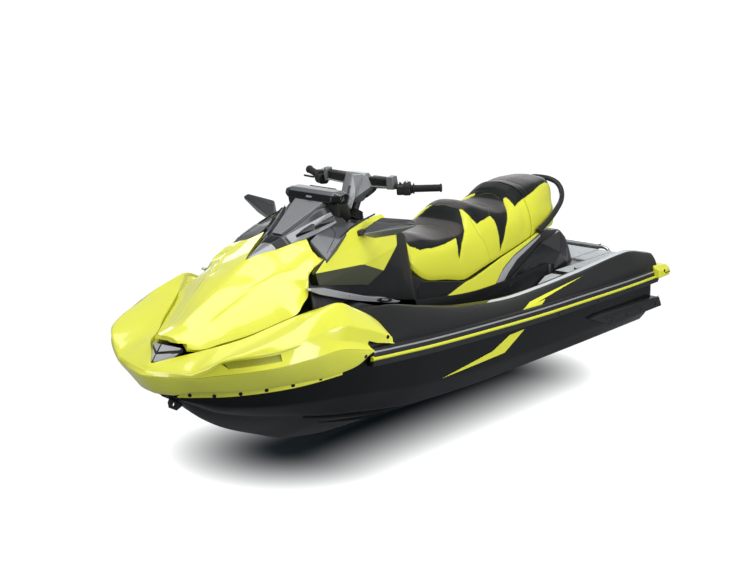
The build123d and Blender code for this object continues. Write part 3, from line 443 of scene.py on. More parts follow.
def gem(name, points, width=4.0, segments=3, mirrored=False):
    """Faceted closed moulding: the tight skin around its corner points, with rounded edges."""
    bm = bmesh.new()
    for side in ((1, -1) if mirrored else (1,)):
        verts = [bm.verts.new(at(x, y * side, z)) for x, y, z in points]
        made = bmesh.ops.convex_hull(bm, input=verts, use_existing_faces=False)
        loose = [g for g in made["geom_interior"] + made["geom_unused"] if isinstance(g, bmesh.types.BMVert)]
        bmesh.ops.delete(bm, geom=list(set(loose)), context="VERTS")
    bmesh.ops.dissolve_limit(bm, angle_limit=math.radians(FLAT), verts=bm.verts, edges=bm.edges)
    obj = link(name, bm)
    if width:
        soften(obj, width, segments, angle=2.5, sharp=60)
        even_shading(obj)
    return obj


def slab(name, outline, axis, low, high, width=0.0, mirrored=False):
    """Plate along Y from (x, z) points, or along Z from (x, y) points; low and high may follow a rule."""
    bm = bmesh.new()
    for side in ((1, -1) if mirrored else (1,)):
        if axis == "Y":
            ends = [[bm.verts.new(at(x, side * (e(x, z) if callable(e) else e), z)) for x, z in outline]
                    for e in (low, high)]
        else:
            ends = [[bm.verts.new(at(x, side * y, e(x, y) if callable(e) else e)) for x, y in outline]
                    for e in (low, high)]
        n = len(outline)
        bm.faces.new(ends[0])
        bm.faces.new(list(reversed(ends[1])))
        for j in range(n):
            k = (j + 1) % n
            bm.faces.new([ends[0][k], ends[0][j], ends[1][j], ends[1][k]])
    obj = link(name, bm)
    if width:
        soften(obj, width, 2, angle=20)
        even_shading(obj)
    return obj


def box_cutter(name, x0, x1, y0, y1, z0, z1, radius=0.0):
    """Box between two corners, its upright and lower edges rounded by radius."""
    bm = bmesh.new()
    bmesh.ops.create_cube(bm, size=1.0)
    lo, hi = at(x0, y0, z0), at(x1, y1, z1)
    for v in bm.verts:
        v.co = Vector([lo[i] if v.co[i] < 0 else hi[i] for i in range(3)])
    if radius:
        upright = [e for e in bm.edges if abs(e.verts[0].co.z - e.verts[1].co.z) > 1e-6]
        low = [e for e in bm.edges if max(e.verts[0].co.z, e.verts[1].co.z) < (lo.z + hi.z) / 2]
        bmesh.ops.bevel(bm, geom=upright + low, offset=radius / 1000.0, segments=4, affect="EDGES", profile=0.5)
    return link(name, bm)


def combine(obj, operation, *tools):
    for tool in tools:
        modify(obj, "BOOLEAN", operation=operation, solver="EXACT", object=tool)
        settle(obj)
        bpy.data.objects.remove(tool)
    return obj


def carve(obj, *tools):
    return combine(obj, "DIFFERENCE", *tools)


def join(name, *objs):
    """One piece from several finished shapes, keeping their shading and finishes."""
    bpy.ops.object.select_all(action="DESELECT")
    for obj in objs:
        obj.select_set(True)
    bpy.context.view_layer.objects.active = objs[0]
    bpy.ops.object.join()
    objs[0].name = name
    objs[0].data.name = name
    return objs[0]


def faired_path(points, pitch):
    """Points at an even pitch on a smooth line through the given ones, in metres."""
    pts = [Vector(p) for p in points]
    ghost = [pts[0] * 2 - pts[1]] + pts + [pts[-1] * 2 - pts[-2]]
    line = []
    for i in range(1, len(ghost) - 2):
        p0, p1, p2, p3 = ghost[i - 1:i + 3]
        n = max(2, round((p2 - p1).length * 1000 / pitch))
        for j in range(n):
            t = j / n
            line.append(0.5 * ((2 * p1) + (p2 - p0) * t + (2 * p0 - 5 * p1 + 4 * p2 - p3) * t * t
                + (3 * p1 - p0 - 3 * p2 + p3) * t ** 3))
    line.append(pts[-1])
    return line


def sweep(name, line, profile, up=(0, 0, 1), width=2.0):
    """Closed bar along a line; profile is (across, up) in mm, or a rule of the place 0 to 1."""
    rings = []
    n = len(line)
    for i, p in enumerate(line):
        t = (line[min(i + 1, n - 1)] - line[max(i - 1, 0)]).normalized()
        across = t.cross(Vector(up)).normalized()
        rise = across.cross(t).normalized()
        shape = profile(i / (n - 1)) if callable(profile) else profile
        rings.append([p + across * (a / 1000.0) + rise * (b / 1000.0) for a, b in shape])
    obj = solid(name, rings)
    return soften(obj, width, 2) if width else settle(obj)


def round_profile(rx, ry=None, n=16):
    """Corners of an ellipse about the origin."""
    ry = rx if ry is None else ry
    return [(rx * math.cos(2 * math.pi * i / n), ry * math.sin(2 * math.pi * i / n)) for i in range(n)]


def paint(obj, *names):
    """Give a piece its finishes; tint() picks among several."""
    obj.data.materials.clear()
    for name in names:
        obj.data.materials.append(FINISH[name])
    return obj


def tint(obj, rule):
    """Give each face the finish that the rule picks from its middle (table mm) and its normal."""
    for face in obj.data.polygons:
        c = face.center
        face.material_index = rule(c.x * 1000, c.y * 1000, c.z * 1000 + WATERLINE, face.normal)
    return obj


def place(obj, body, slot, *nodes):
    """Hand a finished piece over: its body and the nodes that it stands for; slot, its finish, is not used."""
    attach(obj, body)
    if nodes:
        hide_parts(*nodes)
    return obj


def surface(obj):
    """Search tree of a finished shape, for laying other things on it."""
    bm = bmesh.new()
    bm.from_mesh(obj.data)
    tree = BVHTree.FromBMesh(bm)
    bm.free()
    return tree


def lay(tree, point, direction, lift=0.4):
    """Where a ray meets the surface, and the way out of it; lift is in mm."""
    hit, normal, _, _ = tree.ray_cast(point, direction)
    if hit is None:
        return None, None
    if normal.dot(direction) > 0:
        normal = -normal
    return hit + normal * (lift / 1000.0), normal


def decal(name, outline, tree):
    """Thin film on both sides of a shape, from an (x, z) outline."""
    bm = bmesh.new()
    for side in (1, -1):
        verts = [bm.verts.new(at(x, side * FILM_START, z)) for x, z in outline]
        bm.faces.new(verts)
    for axis in (0, 2):
        low = min(v.co[axis] for v in bm.verts)
        high = max(v.co[axis] for v in bm.verts)
        steps = int((high - low) * 1000 / FILM_PITCH)
        for i in range(1, steps + 1):
            spot, normal = Vector((0, 0, 0)), Vector((0, 0, 0))
            spot[axis] = low + (high - low) * i / (steps + 1)
            normal[axis] = 1
            bmesh.ops.bisect_plane(bm, geom=bm.verts[:] + bm.edges[:] + bm.faces[:], plane_co=spot, plane_no=normal)
    bmesh.ops.triangulate(bm, faces=bm.faces)
    for v in bm.verts:
        side = 1 if v.co.y > 0 else -1
        hit, normal = lay(tree, v.co, Vector((0, -side, 0)), FILM_LIFT)
        if hit is None:
            raise RuntimeError(name + " misses the surface")
        v.co = hit
    for face in bm.faces:
        face.normal_update()
        if face.normal.y * face.calc_center_median().y < 0:
            face.normal_flip()
    obj = link(name, bm, turn=False)
    modify(obj, "SOLIDIFY", thickness=FILM_THICKNESS / 1000.0, offset=1.0)
    return settle(obj, 60)


# ---------------------------------------------------------------- repeated shapes, by geometry nodes
def tree_start(name, sizes):
    tree = bpy.data.node_groups.new(name, "GeometryNodeTree")
    tree.interface.new_socket("Geometry", in_out="INPUT", socket_type="NodeSocketGeometry")
    for label, value in sizes:
        socket = tree.interface.new_socket(label, in_out="INPUT", socket_type="NodeSocketFloat")
        socket.default_value = value
    tree.interface.new_socket("Finish", in_out="INPUT", socket_type="NodeSocketMaterial")
    tree.interface.new_socket("Geometry", in_out="OUTPUT", socket_type="NodeSocketGeometry")
    return tree, tree.nodes.new("NodeGroupInput"), tree.nodes.new("NodeGroupOutput")


def feed(tree, target, inputs):
    """Fill a node's inputs, by name or place, with plain values or with the outputs of other nodes."""
    for label, value in inputs.items():
        if isinstance(value, bpy.types.NodeSocket):
            tree.links.new(value, target.inputs[label])
        else:
            target.inputs[label].default_value = value
    return target


def node(tree, kind, inputs=None, **settings):
    made = tree.nodes.new(kind)
    for label, value in settings.items():
        setattr(made, label, value)
    return feed(tree, made, inputs or {})


def tree_end(tree, source, given, out):
    real = node(tree, "GeometryNodeRealizeInstances", {0: source})
    dress = node(tree, "GeometryNodeSetMaterial", {"Geometry": real.outputs[0], "Material": given.outputs["Finish"]})
    feed(tree, out, {0: dress.outputs[0]})
    return tree


def fastener_tree():
    """A washer and a domed head on every point, standing along its 'out' attribute."""
    tree, given, out = tree_start("Fasteners", (("Head radius", 0.005), ("Head height", 0.003)))

    def part(label, factor):
        return node(tree, "ShaderNodeMath", {0: given.outputs[label], 1: factor}, operation="MULTIPLY").outputs[0]
    parts = node(tree, "GeometryNodeJoinGeometry")
    for top, low, high in ((1.25, 1.45, 0.35), (0.70, 1.0, 1.0)):
        cone = node(tree, "GeometryNodeMeshCone", {"Vertices": 12, "Radius Top": part("Head radius", top),
            "Radius Bottom": part("Head radius", low), "Depth": part("Head height", high)})
        feed(tree, parts, {0: cone.outputs["Mesh"]})
    way = node(tree, "GeometryNodeInputNamedAttribute", {"Name": "out"}, data_type="FLOAT_VECTOR")
    turn = node(tree, "FunctionNodeAlignRotationToVector", {"Vector": way.outputs["Attribute"]}, axis="Z")
    scatter = node(tree, "GeometryNodeInstanceOnPoints", {"Points": given.outputs["Geometry"],
        "Instance": parts.outputs[0], "Rotation": turn.outputs[0]})
    return tree_end(tree, scatter.outputs[0], given, out)


def stitch_tree():
    """Short rounded stitches at an even pitch along every line."""
    tree, given, out = tree_start("Stitches", (("Pitch", 0.007), ("Thickness", 0.0011), ("Length", 0.0048)))
    line = node(tree, "GeometryNodeMeshToCurve", {0: given.outputs["Geometry"]})
    spots = node(tree, "GeometryNodeCurveToPoints", {"Curve": line.outputs[0], "Length": given.outputs["Pitch"]},
        mode="LENGTH")
    bead = node(tree, "GeometryNodeMeshUVSphere", {"Segments": 6, "Rings": 4, "Radius": 0.5})
    thick = given.outputs["Thickness"]
    size = node(tree, "ShaderNodeCombineXYZ", {0: thick, 1: thick, 2: given.outputs["Length"]})
    scatter = node(tree, "GeometryNodeInstanceOnPoints", {"Points": spots.outputs["Points"],
        "Rotation": spots.outputs["Rotation"], "Instance": bead.outputs["Mesh"], "Scale": size.outputs[0]})
    return tree_end(tree, scatter.outputs[0], given, out)


def cord_tree():
    """A round bar along every line: grille bars, ribs and piping."""
    tree, given, out = tree_start("Round_bars", (("Radius", 0.0015),))
    line = node(tree, "GeometryNodeMeshToCurve", {0: given.outputs["Geometry"]})
    ring = node(tree, "GeometryNodeCurvePrimitiveCircle", {"Resolution": 8, "Radius": given.outputs["Radius"]})
    bar = node(tree, "GeometryNodeCurveToMesh", {"Curve": line.outputs[0], "Profile Curve": ring.outputs[0],
        "Fill Caps": True})
    return tree_end(tree, bar.outputs[0], given, out)


TREES = {}


def grow(name, kind, finish, points=(), lines=(), **sizes):
    """Run a repeated-shape tree over points with ways out, or over lines, and keep the plain mesh."""
    if kind not in TREES:
        TREES[kind] = {"fasteners": fastener_tree, "stitches": stitch_tree, "bars": cord_tree}[kind]()
    tree = TREES[kind]
    verts, edges = [], []
    for line in lines:
        start = len(verts)
        verts += list(line)
        edges += [(start + i, start + i + 1) for i in range(len(line) - 1)]
    verts += [p for p, _ in points]
    me = bpy.data.meshes.new(name)
    me.from_pydata([tuple(v) for v in verts], edges, [])
    if points:
        ways = me.attributes.new("out", "FLOAT_VECTOR", "POINT")
        ways.data.foreach_set("vector", [c for _, way in points for c in way])
    obj = linked(name, me)
    mod = modify(obj, "NODES", node_group=tree)
    for item in tree.interface.items_tree:
        if item.in_out == "INPUT" and item.socket_type != "NodeSocketGeometry":
            mod[item.identifier] = FINISH[finish] if item.name == "Finish" else sizes.get(
                item.name.lower().replace(" ", "_"), item.default_value)
    return paint(settle(obj, 40), finish)


# ---------------------------------------------------------------- finishes
def new_material(name):
    mat = bpy.data.materials.new(name)
    mat.use_nodes = True
    tree = mat.node_tree
    tree.nodes.clear()
    shader = node(tree, "ShaderNodeBsdfPrincipled")
    node(tree, "ShaderNodeOutputMaterial", {0: shader.outputs[0]})
    return mat, tree, shader, node(tree, "ShaderNodeTexCoord").outputs["Object"]


def noise(tree, coord, scale, detail=3.0, rough=0.5, stretch=None):
    if stretch:
        coord = node(tree, "ShaderNodeMapping", {"Vector": coord, "Scale": stretch}).outputs[0]
    return node(tree, "ShaderNodeTexNoise", {"Scale": scale, "Detail": detail, "Roughness": rough,
        "Vector": coord}).outputs["Fac"]


def spread(tree, value, low, high, start=0.0, stop=1.0):
    """The stretch from start to stop laid over the one from low to high."""
    return node(tree, "ShaderNodeMapRange", {"Value": value, "From Min": start, "From Max": stop, "To Min": low,
        "To Max": high}).outputs[0]


def reckon(tree, first, operation, second):
    return node(tree, "ShaderNodeMath", {0: first, 1: second}, operation=operation).outputs[0]


def blend_colour(tree, factor, first, second):
    """First colour where the factor is 0, second where it is 1."""
    first, second = [c if isinstance(c, bpy.types.NodeSocket) else (*c[:3], 1.0) for c in (first, second)]
    return node(tree, "ShaderNodeMix", {0: factor, 6: first, 7: second}, data_type="RGBA").outputs[2]


def bump(tree, height, strength, distance, shader):
    bumps = node(tree, "ShaderNodeBump", {"Strength": strength, "Distance": distance, "Height": height})
    feed(tree, shader, {"Normal": bumps.outputs[0]})


def mottled(tree, coord, colour, mottle):
    return blend_colour(tree, noise(tree, coord, 5.0, 4.0), tuple(c * (1 - mottle) for c in colour), tuple(min(1.0,
        c * (1 + mottle)) for c in colour))


def moulded(name, colour, rough, grain, depth, mottle=0.08, metallic=0.0, coat=0.0, stretch=None,
            rough_spread=0.05, specular=0.5):
    """Moulded, cast or painted finish: slight mottle, uneven gloss and a fine grain."""
    mat, tree, shader, coord = new_material(name)
    base = mottled(tree, coord, colour, mottle)
    gloss = spread(tree, noise(tree, coord, 38.0), max(0.02, rough - rough_spread), rough + rough_spread)
    bump(tree, noise(tree, coord, grain, 2.0, 0.6, stretch), 0.35, depth, shader)
    feed(tree, shader, {"Base Color": base, "Roughness": gloss, "Metallic": metallic, "Coat Weight": coat,
        "Coat Roughness": 0.05, "Specular IOR Level": specular})
    return mat


def vinyl(name, bright, dark):
    """Seat covering: bright panels, dark grips by 'zone' that are near black with painted shade on steep faces and
    lighter with painted top light where 'pad' says they face up, darkened with painted shade along its seams.
    """
    mat, tree, shader, coord = new_material(name)
    zone, seam, pad = [node(tree, "ShaderNodeAttribute", attribute_name=label).outputs["Fac"] for label in ("zone",
        "seam", "pad")]
    grip = spread(tree, zone, 1.0, 0.0, -0.0004, 0.0004)
    # painted shade: the colour darkens to 0.72 within 4.5 mm of a seam, where its crease lies in shade
    edge = spread(tree, seam, 0.72, 1.0, 0.0, 0.0045)
    # painted light: steep grip faces are near black (painted shade), upward ones take the lighter dark colour (painted
    # top light) by 'pad'
    grip_painted_top_light = blend_colour(tree, pad, (0.008, 0.010, 0.010), mottled(tree, coord, dark, 0.10))
    base = blend_colour(tree, grip, mottled(tree, coord, bright, 0.03), grip_painted_top_light)
    shade = node(tree, "ShaderNodeMix", {0: 1.0, 6: base, 7: edge}, data_type="RGBA", blend_type="MULTIPLY")
    gloss = spread(tree, grip, 0.36, 0.42)
    leather = node(tree, "ShaderNodeTexVoronoi", {"Scale": 620.0, "Vector": coord})
    pores = noise(tree, coord, 240.0)
    folds = noise(tree, coord, 16.0, 2.0, 0.5, (1.0, 0.5, 2.0))
    height = reckon(tree, leather.outputs["Distance"], "ADD", reckon(tree, pores, "MULTIPLY", 0.6))
    height = reckon(tree, height, "ADD", reckon(tree, folds, "MULTIPLY", 2.5))
    bump(tree, height, 0.45, 0.0005, shader)
    dull = reckon(tree, grip, "MULTIPLY", spread(tree, pad, 1.0, 0.0))
    feed(tree, shader, {"Base Color": shade.outputs[2], "Roughness": gloss, "Sheen Weight": 0.06,
        "Sheen Roughness": 0.4, "Specular IOR Level": spread(tree, dull, 0.45, 0.12)})
    return mat


FINISH = {}


# finish: label, colour (or a style colour and the share of it), roughness, grain, relief in m, and the rest
FINISHES = {
    "lime": ("Lime gloss", ("lime", 1.0), 0.30, 70, 0.00002, dict(mottle=0.02, coat=0.8, rough_spread=0.03)),
    "hull": ("Dark gel coat", ("dark", 0.22), 0.20, 220, 0.00004, dict(mottle=0.12, specular=0.18)),
    "deck": ("Satin deck moulding", ("dark", 0.55), 0.34, 900, 0.00010, dict(mottle=0.12, specular=0.30)),
    "panel": ("Graphite side panel", ("dark", 0.45), 0.20, 900, 0.00006, dict(specular=0.45)),
    "olive_dark_and_shade": ("Shaded side panel", (0.050, 0.055, 0.030), 0.34, 600, 0.00006, {}),
    "cowl": ("Metallic cowl grey", ("cowl", 1.0), 0.36, 1400, 0.00003, dict(mottle=0.05, metallic=0.55, coat=0.25)),
    "graphite": ("Metallic graphite", (0.105, 0.110, 0.118), 0.36, 1400, 0.00003,
        dict(mottle=0.05, metallic=0.45, coat=0.25)),
    "cowl_dark": ("Metallic dark grey", (0.050, 0.052, 0.056), 0.34, 1400, 0.00003, dict(metallic=0.5, coat=0.2)),
    "gloss_black": ("Gloss black", (0.004, 0.005, 0.006), 0.16, 200, 0.00002, dict(coat=0.15, specular=0.16)),
    "grille": ("Grille shadow", (0.022, 0.020, 0.006), 0.5, 500, 0.00005, dict(specular=0.2)),
    "matte_black": ("Matte black plastic", (0.013, 0.013, 0.014), 0.48, 1100, 0.00014, dict(specular=0.35)),
    "rubber": ("Bumper rubber", (0.014, 0.014, 0.015), 0.48, 800, 0.00014, dict(specular=0.35)),
    "bead": ("Lime bumper bead", ("lime", 1.0), 0.36, 500, 0.00006, dict(mottle=0.03)),
    "grip": ("Grip rubber", (0.014, 0.014, 0.015), 0.60, 600, 0.00025, dict(specular=0.3)),
    "silver": ("Silver paint", (0.52, 0.53, 0.56), 0.30, 1500, 0.00003, dict(metallic=0.55, coat=0.3)),
    "alloy": ("Cast alloy", (0.42, 0.43, 0.44), 0.42, 420, 0.0003, dict(metallic=0.9)),
    "steel": ("Polished steel", (0.60, 0.60, 0.61), 0.16, 300, 0.00003, dict(metallic=1.0)),
    "mat": ("Foam deck mat", (0.60, 0.63, 0.65), 0.72, 500, 0.0004, dict(stretch=(1, 12, 12), specular=0.3)),
    "thread": ("Seam thread", ("lime", 0.8), 0.6, 2000, 0.00005, {}),
    "engine": ("Engine block", (0.10, 0.10, 0.105), 0.55, 300, 0.0004, dict(metallic=0.5)),
    "bin": ("Bin moulding", (0.03, 0.03, 0.032), 0.55, 900, 0.0002, {}),
    "screen": ("Display glass", (0.012, 0.016, 0.020), 0.06, 100, 0.00001, dict(coat=1.0)),
    "glass": ("Mirror glass", (0.55, 0.57, 0.60), 0.04, 100, 0.000005, dict(metallic=1.0)),
}


def finishes(style):
    for key, (label, colour, rough, grain, relief, rest) in FINISHES.items():
        if len(colour) == 2:
            colour = tuple(c * colour[1] for c in getattr(style, colour[0]))
        FINISH[key] = moulded(label, colour, rough, grain, relief, **rest)
    # the grips' dark colour is their top-lit tone; vinyl() turns their steep faces near black as painted shade
    FINISH["vinyl"] = vinyl("Seat vinyl", tuple(c * 0.93 for c in style.lime), (0.050, 0.046, 0.045))


CARRIED = {
    "bow_storage_bin": "bin", "engine_block": "engine", "glovebox_lid": "deck", "display_screen": "screen",
    "handlebar": "matte_black", "steering_column": "matte_black", "throttle_lever": "matte_black",
    "footwell_mats": "mat", "bow_eye": "matte_black", "stern_eyes": "steel", "ride_plate": "alloy",
    "intake_grate": "alloy", "pump_housing": "alloy", "jet_outlet": "alloy", "trim_ring": "alloy",
    "steering_nozzle": "alloy", "reverse_bucket": "alloy", "impeller": "steel", "drive_shaft": "steel",
    "boarding_step": "steel", "step_brackets": "steel", "aft_deck_mats": "mat",
}


# ---------------------------------------------------------------- sizes and colours a user would change
class CraftStyle(PropertyGroup):
    lime: FloatVectorProperty(name="Lime", description="Colour of the bright panels", subtype="COLOR", size=3,
        default=(0.745, 0.765, 0.045), min=0.0, max=1.0)
    dark: FloatVectorProperty(name="Dark", description="Colour of the hull and deck mouldings", subtype="COLOR",
        size=3, default=(0.0145, 0.0155, 0.0170), min=0.0, max=1.0)
    cowl: FloatVectorProperty(name="Cowl", description="Colour of the cowl and bar cover", subtype="COLOR", size=3,
        default=(0.235, 0.245, 0.255), min=0.0, max=1.0)
    edge_round: FloatProperty(name="Edge round", description="Rounding of the panels' rims, mm", default=4.0, min=0.5,
        max=15.0)
    pitch: FloatProperty(name="Station pitch", description="Spacing of the lofts' sections, mm", default=26.0,
        min=10.0, max=80.0)
    head_radius: FloatProperty(name="Bolt head", description="Radius of the bolt heads", default=0.0062, min=0.002,
        max=0.02, subtype="DISTANCE", unit="LENGTH")
    stitch_pitch: FloatProperty(name="Stitch pitch", description="Spacing of the seat stitches", default=0.0075,
        min=0.004, max=0.03, subtype="DISTANCE", unit="LENGTH")


# ---------------------------------------------------------------- pieces
class CRAFT_OT_finishes(Operator):
    """Make the paints, mouldings, metals and vinyls, and dress the carried parts"""
    bl_idname = "craft.finishes"
    bl_label = "Finishes"

    def execute(self, context):
        finishes(context.scene.craft_style)
        for node, finish in CARRIED.items():
            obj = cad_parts[node]
            obj.data.materials.clear()
            obj.data.materials.append(FINISH[finish])
        return {"FINISHED"}


def bin_cutter():
    """Room for the storage bin under the hood."""
    low = [(1008, -152), (1382, -112), (1382, 112), (1008, 152)]
    high = [(983, -232), (1472, -142), (1472, 142), (983, 232)]
    rings = [[at(x, y, 438) for x, y in low], [at(x, y, 690) for x, y in high], [at(x, y, 990) for x, y in high]]
    return solid("bin_cut", rings)


def wells(name, out, floor, top, radius):
    """Boxes in the place of both footwells, wider than these by out."""
    near, far, aft, fore = WELL[0] - out, WELL[1] + out, WELL[2] - out, WELL[3] + out
    return [box_cutter(name, aft, fore, min(s * near, s * far), max(s * near, s * far), floor, top, radius)
            for s in (-1, 1)]


class CRAFT_OT_hull(Operator):
    """Lower hull: faired V bottom with chines and strakes, cut for the pump tunnel, intake and pockets"""
    bl_idname = "craft.hull"
    bl_label = "Hull"

    def execute(self, context):
        style = context.scene.craft_style
        rings = []
        for x, zk, yi, zi, yo, zo, ys, zs in fair(HULL, style.pitch):
            half = [(0, zk), (yi, zi), (yi + 30, zi + 2), (yo, zo), (ys, zs)]
            rings.append(both_sides(x, section(half, [4, 0, 5, 3], 5, [0, 8, 8, 12, 0])))
        hull = soften(solid("Hull", rings), style.edge_round, 3)
        carve(hull,
              box_cutter("bay", *BAY, 700, 25),
              box_cutter("tunnel", -1660, -1150, -200, 200, -30, 330, 0),
              slab("duct", [(-1170, 246), (-1000, 246), (-520, -2), (-950, -50), (-1170, 85)], "Y", -88, 88),
              bin_cutter(), *wells("well_cut", 17, WELL_FLOOR - 17, 900, 20))
        strakes = []
        for x0, x1, part in ((-1120, 900, 0.62), (-1120, 1050, 0.84)):
            for side in (1, -1):
                line = []
                for i in range(33):
                    x = x0 + (x1 - x0) * i / 32
                    _, zk, yi, zi, *_ = row_at(HULL, x)
                    line.append(at(x, side * yi * part, zk + (zi - zk) * part))
                strakes.append(sweep("strake", line, lambda s: [(-9, -7 * min(1, 8 * s, 8 - 8 * s) - 1), (9, -1),
                    (9, 6), (-9, 6)], width=0))
        hull = join("Hull", hull, *strakes)
        place(paint(hull, "hull"), "craft", "hull_dark", "lower_hull", "intake_duct")
        tree = surface(hull)
        film = join("Hull_flash", decal("tail", HULL_FLASH[0], tree), decal("blade", HULL_FLASH[1], tree))
        place(paint(film, "bead"), "craft", "lime_gloss")
        return {"FINISHED"}


class CRAFT_OT_deck(Operator):
    """Deck moulding: gunwales, footwells, rear platform and hatch"""
    bl_idname = "craft.deck"
    bl_label = "Deck"

    def execute(self, context):
        style = context.scene.craft_style
        rings = []
        for x, ys, zs, yk, zk, yt, zt in fair(DECK, style.pitch):
            half = [(0, zs - 15), (ys - 25, zs - 15), (ys, zs), (yk, zk), (yt, zt), (0, zt)]
            rings.append(both_sides(x, section(half, [0, 0, 2, 5, 0], 5, [0, 2, 4, 14, 9, 0])))
        deck = soften(solid("Deck", rings), style.edge_round, 3)
        combine(deck, "UNION", *wells("trough", 15, WELL_FLOOR - 15, 500, 30))
        carve(deck, box_cutter("platform", -1760, -1000, -455, 455, PLATFORM_FLOOR, 900, 26),
              box_cutter("hatch", *HATCH), bin_cutter(),
              box_cutter("bay", *BAY, 497), *wells("well_cut", 0, WELL_FLOOR, 900, 26))
        deck = soften(deck, 5, 2, angle=50)
        place(paint(deck, "deck"), "craft", "deck_dark", "deck", "footwell_liners")
        tree = surface(deck)
        film = join("Deck_flash", *[decal("flash", outline, tree) for outline in DECK_FLASH])
        place(paint(film, "bead"), "craft", "lime_gloss")
        return {"FINISHED"}


# ---------------------------------------------------------------- nose mouldings
def fan_rows(table):
    """Table rows as (fan angle in degrees, radius, height)."""
    return [(math.degrees(math.atan2(y, x - FAN_X)), math.hypot(x - FAN_X, y), z) for x, y, z in table]


def on_fan(rows, angle):
    """What the rows say at a fan angle, the same on both sides."""
    a = min(max(abs(angle), rows[0][0]), rows[-1][0])
    return row_at(rows, a)[1:]


def fan_point(radius, angle, z):
    return at(FAN_X + radius * math.cos(math.radians(angle)), radius * math.sin(math.radians(angle)), z)


def fender_half(angle):
    """Corners of the fender's section at a fan angle: crease, ledge, shoulder, ridge, crest and back."""
    rc, zc = on_fan(fan_rows(CREASE), angle)
    rs, zs = on_fan(fan_rows(SHOULDER), angle)
    rr, zr = on_fan(fan_rows(RIDGE), angle)
    rt, zt = on_fan(fan_rows(CREST), angle)
    v1, out1, v2, out2 = on_fan(LEDGE, angle)
    dr, dz = rs - rc, zs - zc - 2
    length = math.hypot(dr, dz)
    def chord(v, out):
        out = max(out, -0.35 * length)
        return (rc + dr * v + dz / length * out, zc + 2 + dz * v - dr / length * out)
    return [(rc, zc + 2), chord(v1, out1), chord(v2, out2), (rs, zs), (rr, zr), (rt, zt), (rt - 10, zt - 16),
            (rt - 60, zt - 34), (rt - 60, min(zt - 46, zc + 3))]


def vent(u, top):
    """Fan angle and height share of a place in the grille opening: u along it, top 0 to 1."""
    return 16.9 + 1.6 * (1 - top) + u * (11.4 + 1.0 * top), 0.36 + 0.48 * top - 0.03 * u


def face_at(angle, v):
    """Radius and height on the fender's outer face, v being the share of its height."""
    (r0, z0), (r1, z1) = fender_half(angle)[:2]
    s = v / 0.84
    return r0 + (r1 - r0) * s, z0 + (z1 - z0) * s


def vent_block(name, side, near, far):
    """Block in the grille opening of one side, between two offsets from the fender's face."""
    def ring(u):
        points = []
        for top, out in ((0, near), (1, near), (1, far), (0, far)):
            angle, v = vent(u, top)
            r, z = face_at(angle, v)
            points.append(fan_point(r + out, side * angle, z))
        return points
    return solid(name, [ring(i / 12) for i in range(13)], False)


class CRAFT_OT_nose(Operator):
    """Nose mouldings: lower fairing band, bond flange, the fender that wraps the bow and its grilles"""
    bl_idname = "craft.nose"
    bl_label = "Nose mouldings"

    def execute(self, context):
        crease, lip = fan_rows(CREASE), fan_rows(LIP)
        rings = []
        for i in range(-60, 61):
            a = FAIRING_SWEEP * i / 60
            rc, zc = on_fan(crease, a)
            rl, zl = on_fan(lip, a)
            half = section([(rl - 56, zl + 4), (rl, zl), (rc, zc), (rc - 66, zc + 2)], [0, 4, 0], 4, [0, 5, 3, 0])
            rings.append([fan_point(r, a, z) for r, z in half])
        fairing = soften(solid("Bow_fairing", rings), 3, 3)
        place(paint(fairing, "lime"), "craft", "lime_gloss", "bow_fairing")
        rings = []
        for i in range(-124, 125):
            a = FENDER_SWEEP * i / 124
            half = section(fender_half(a), [0, 0, 0, 2, 5, 0, 0, 0], 4, [0, 2, 2, 7, 12, 5, 4, 2, 0])
            rings.append([fan_point(r, a, z) for r, z in half])
        fender = solid("Nose_fender", rings)
        carve(fender, box_cutter("aft", 500, 800, -700, 700, 500, 900),
              slab("lobe", [(690, 560), (938, 560), (962, 604), (938, 638), (885, 619), (800, 604), (690, 590)], "Y",
                   -700, 700))
        for side in (1, -1):
            carve(fender, vent_block("vent_cut", side, 9, -VENT_DEPTH))
        fender = soften(fender, 2.5, 2, angle=28)
        even_shading(fender)
        place(paint(fender, "lime"), "craft", "lime_gloss", "nose_fender")
        bars, backs = [], []
        for side in (1, -1):
            # painted shadow: dark plates fill the bottom of each grille pocket
            backs.append(paint(vent_block("back", side, VENT_BACK - VENT_DEPTH, -VENT_DEPTH), "grille"))
            for k in range(-6, 26):
                for lean in (1, -1):
                    line = []
                    for j in range(9):
                        top = j / 8
                        u = k / 20.0 + lean * (top - 0.5) * 0.22
                        if 0 < u < 1:
                            angle, v = vent(u, top)
                            r, z = face_at(angle, v)
                            line.append(fan_point(r - 8.6, side * angle, z))
                    if len(line) > 1:
                        bars.append(line)
        grille = join("Nose_grilles", grow("mesh", "bars", "lime", lines=bars, radius=0.0009), *backs)
        place(grille, "craft", "lime_gloss")
        lines = []
        for side in (1, -1):
            line = []
            for i in range(41):
                x, ys, zs = row_at([row[:3] for row in DECK], 1616 - (1616 - 1080) * i / 40)
                line.append(at(x, side * ys, zs))
            lines.append(line if side == 1 else line[::-1])
        nose_line = lines[1][:-1] + [at(1634, -40, 470), at(1642, 0, 469), at(1634, 40, 470)] + lines[0][1:]
        flange = sweep("Bond_flange", nose_line, [(-6, -24), (9, -24), (11, -6), (9, 0), (-6, 0)], width=1.5)
        place(paint(flange, "lime"), "craft", "lime_gloss")
        return {"FINISHED"}


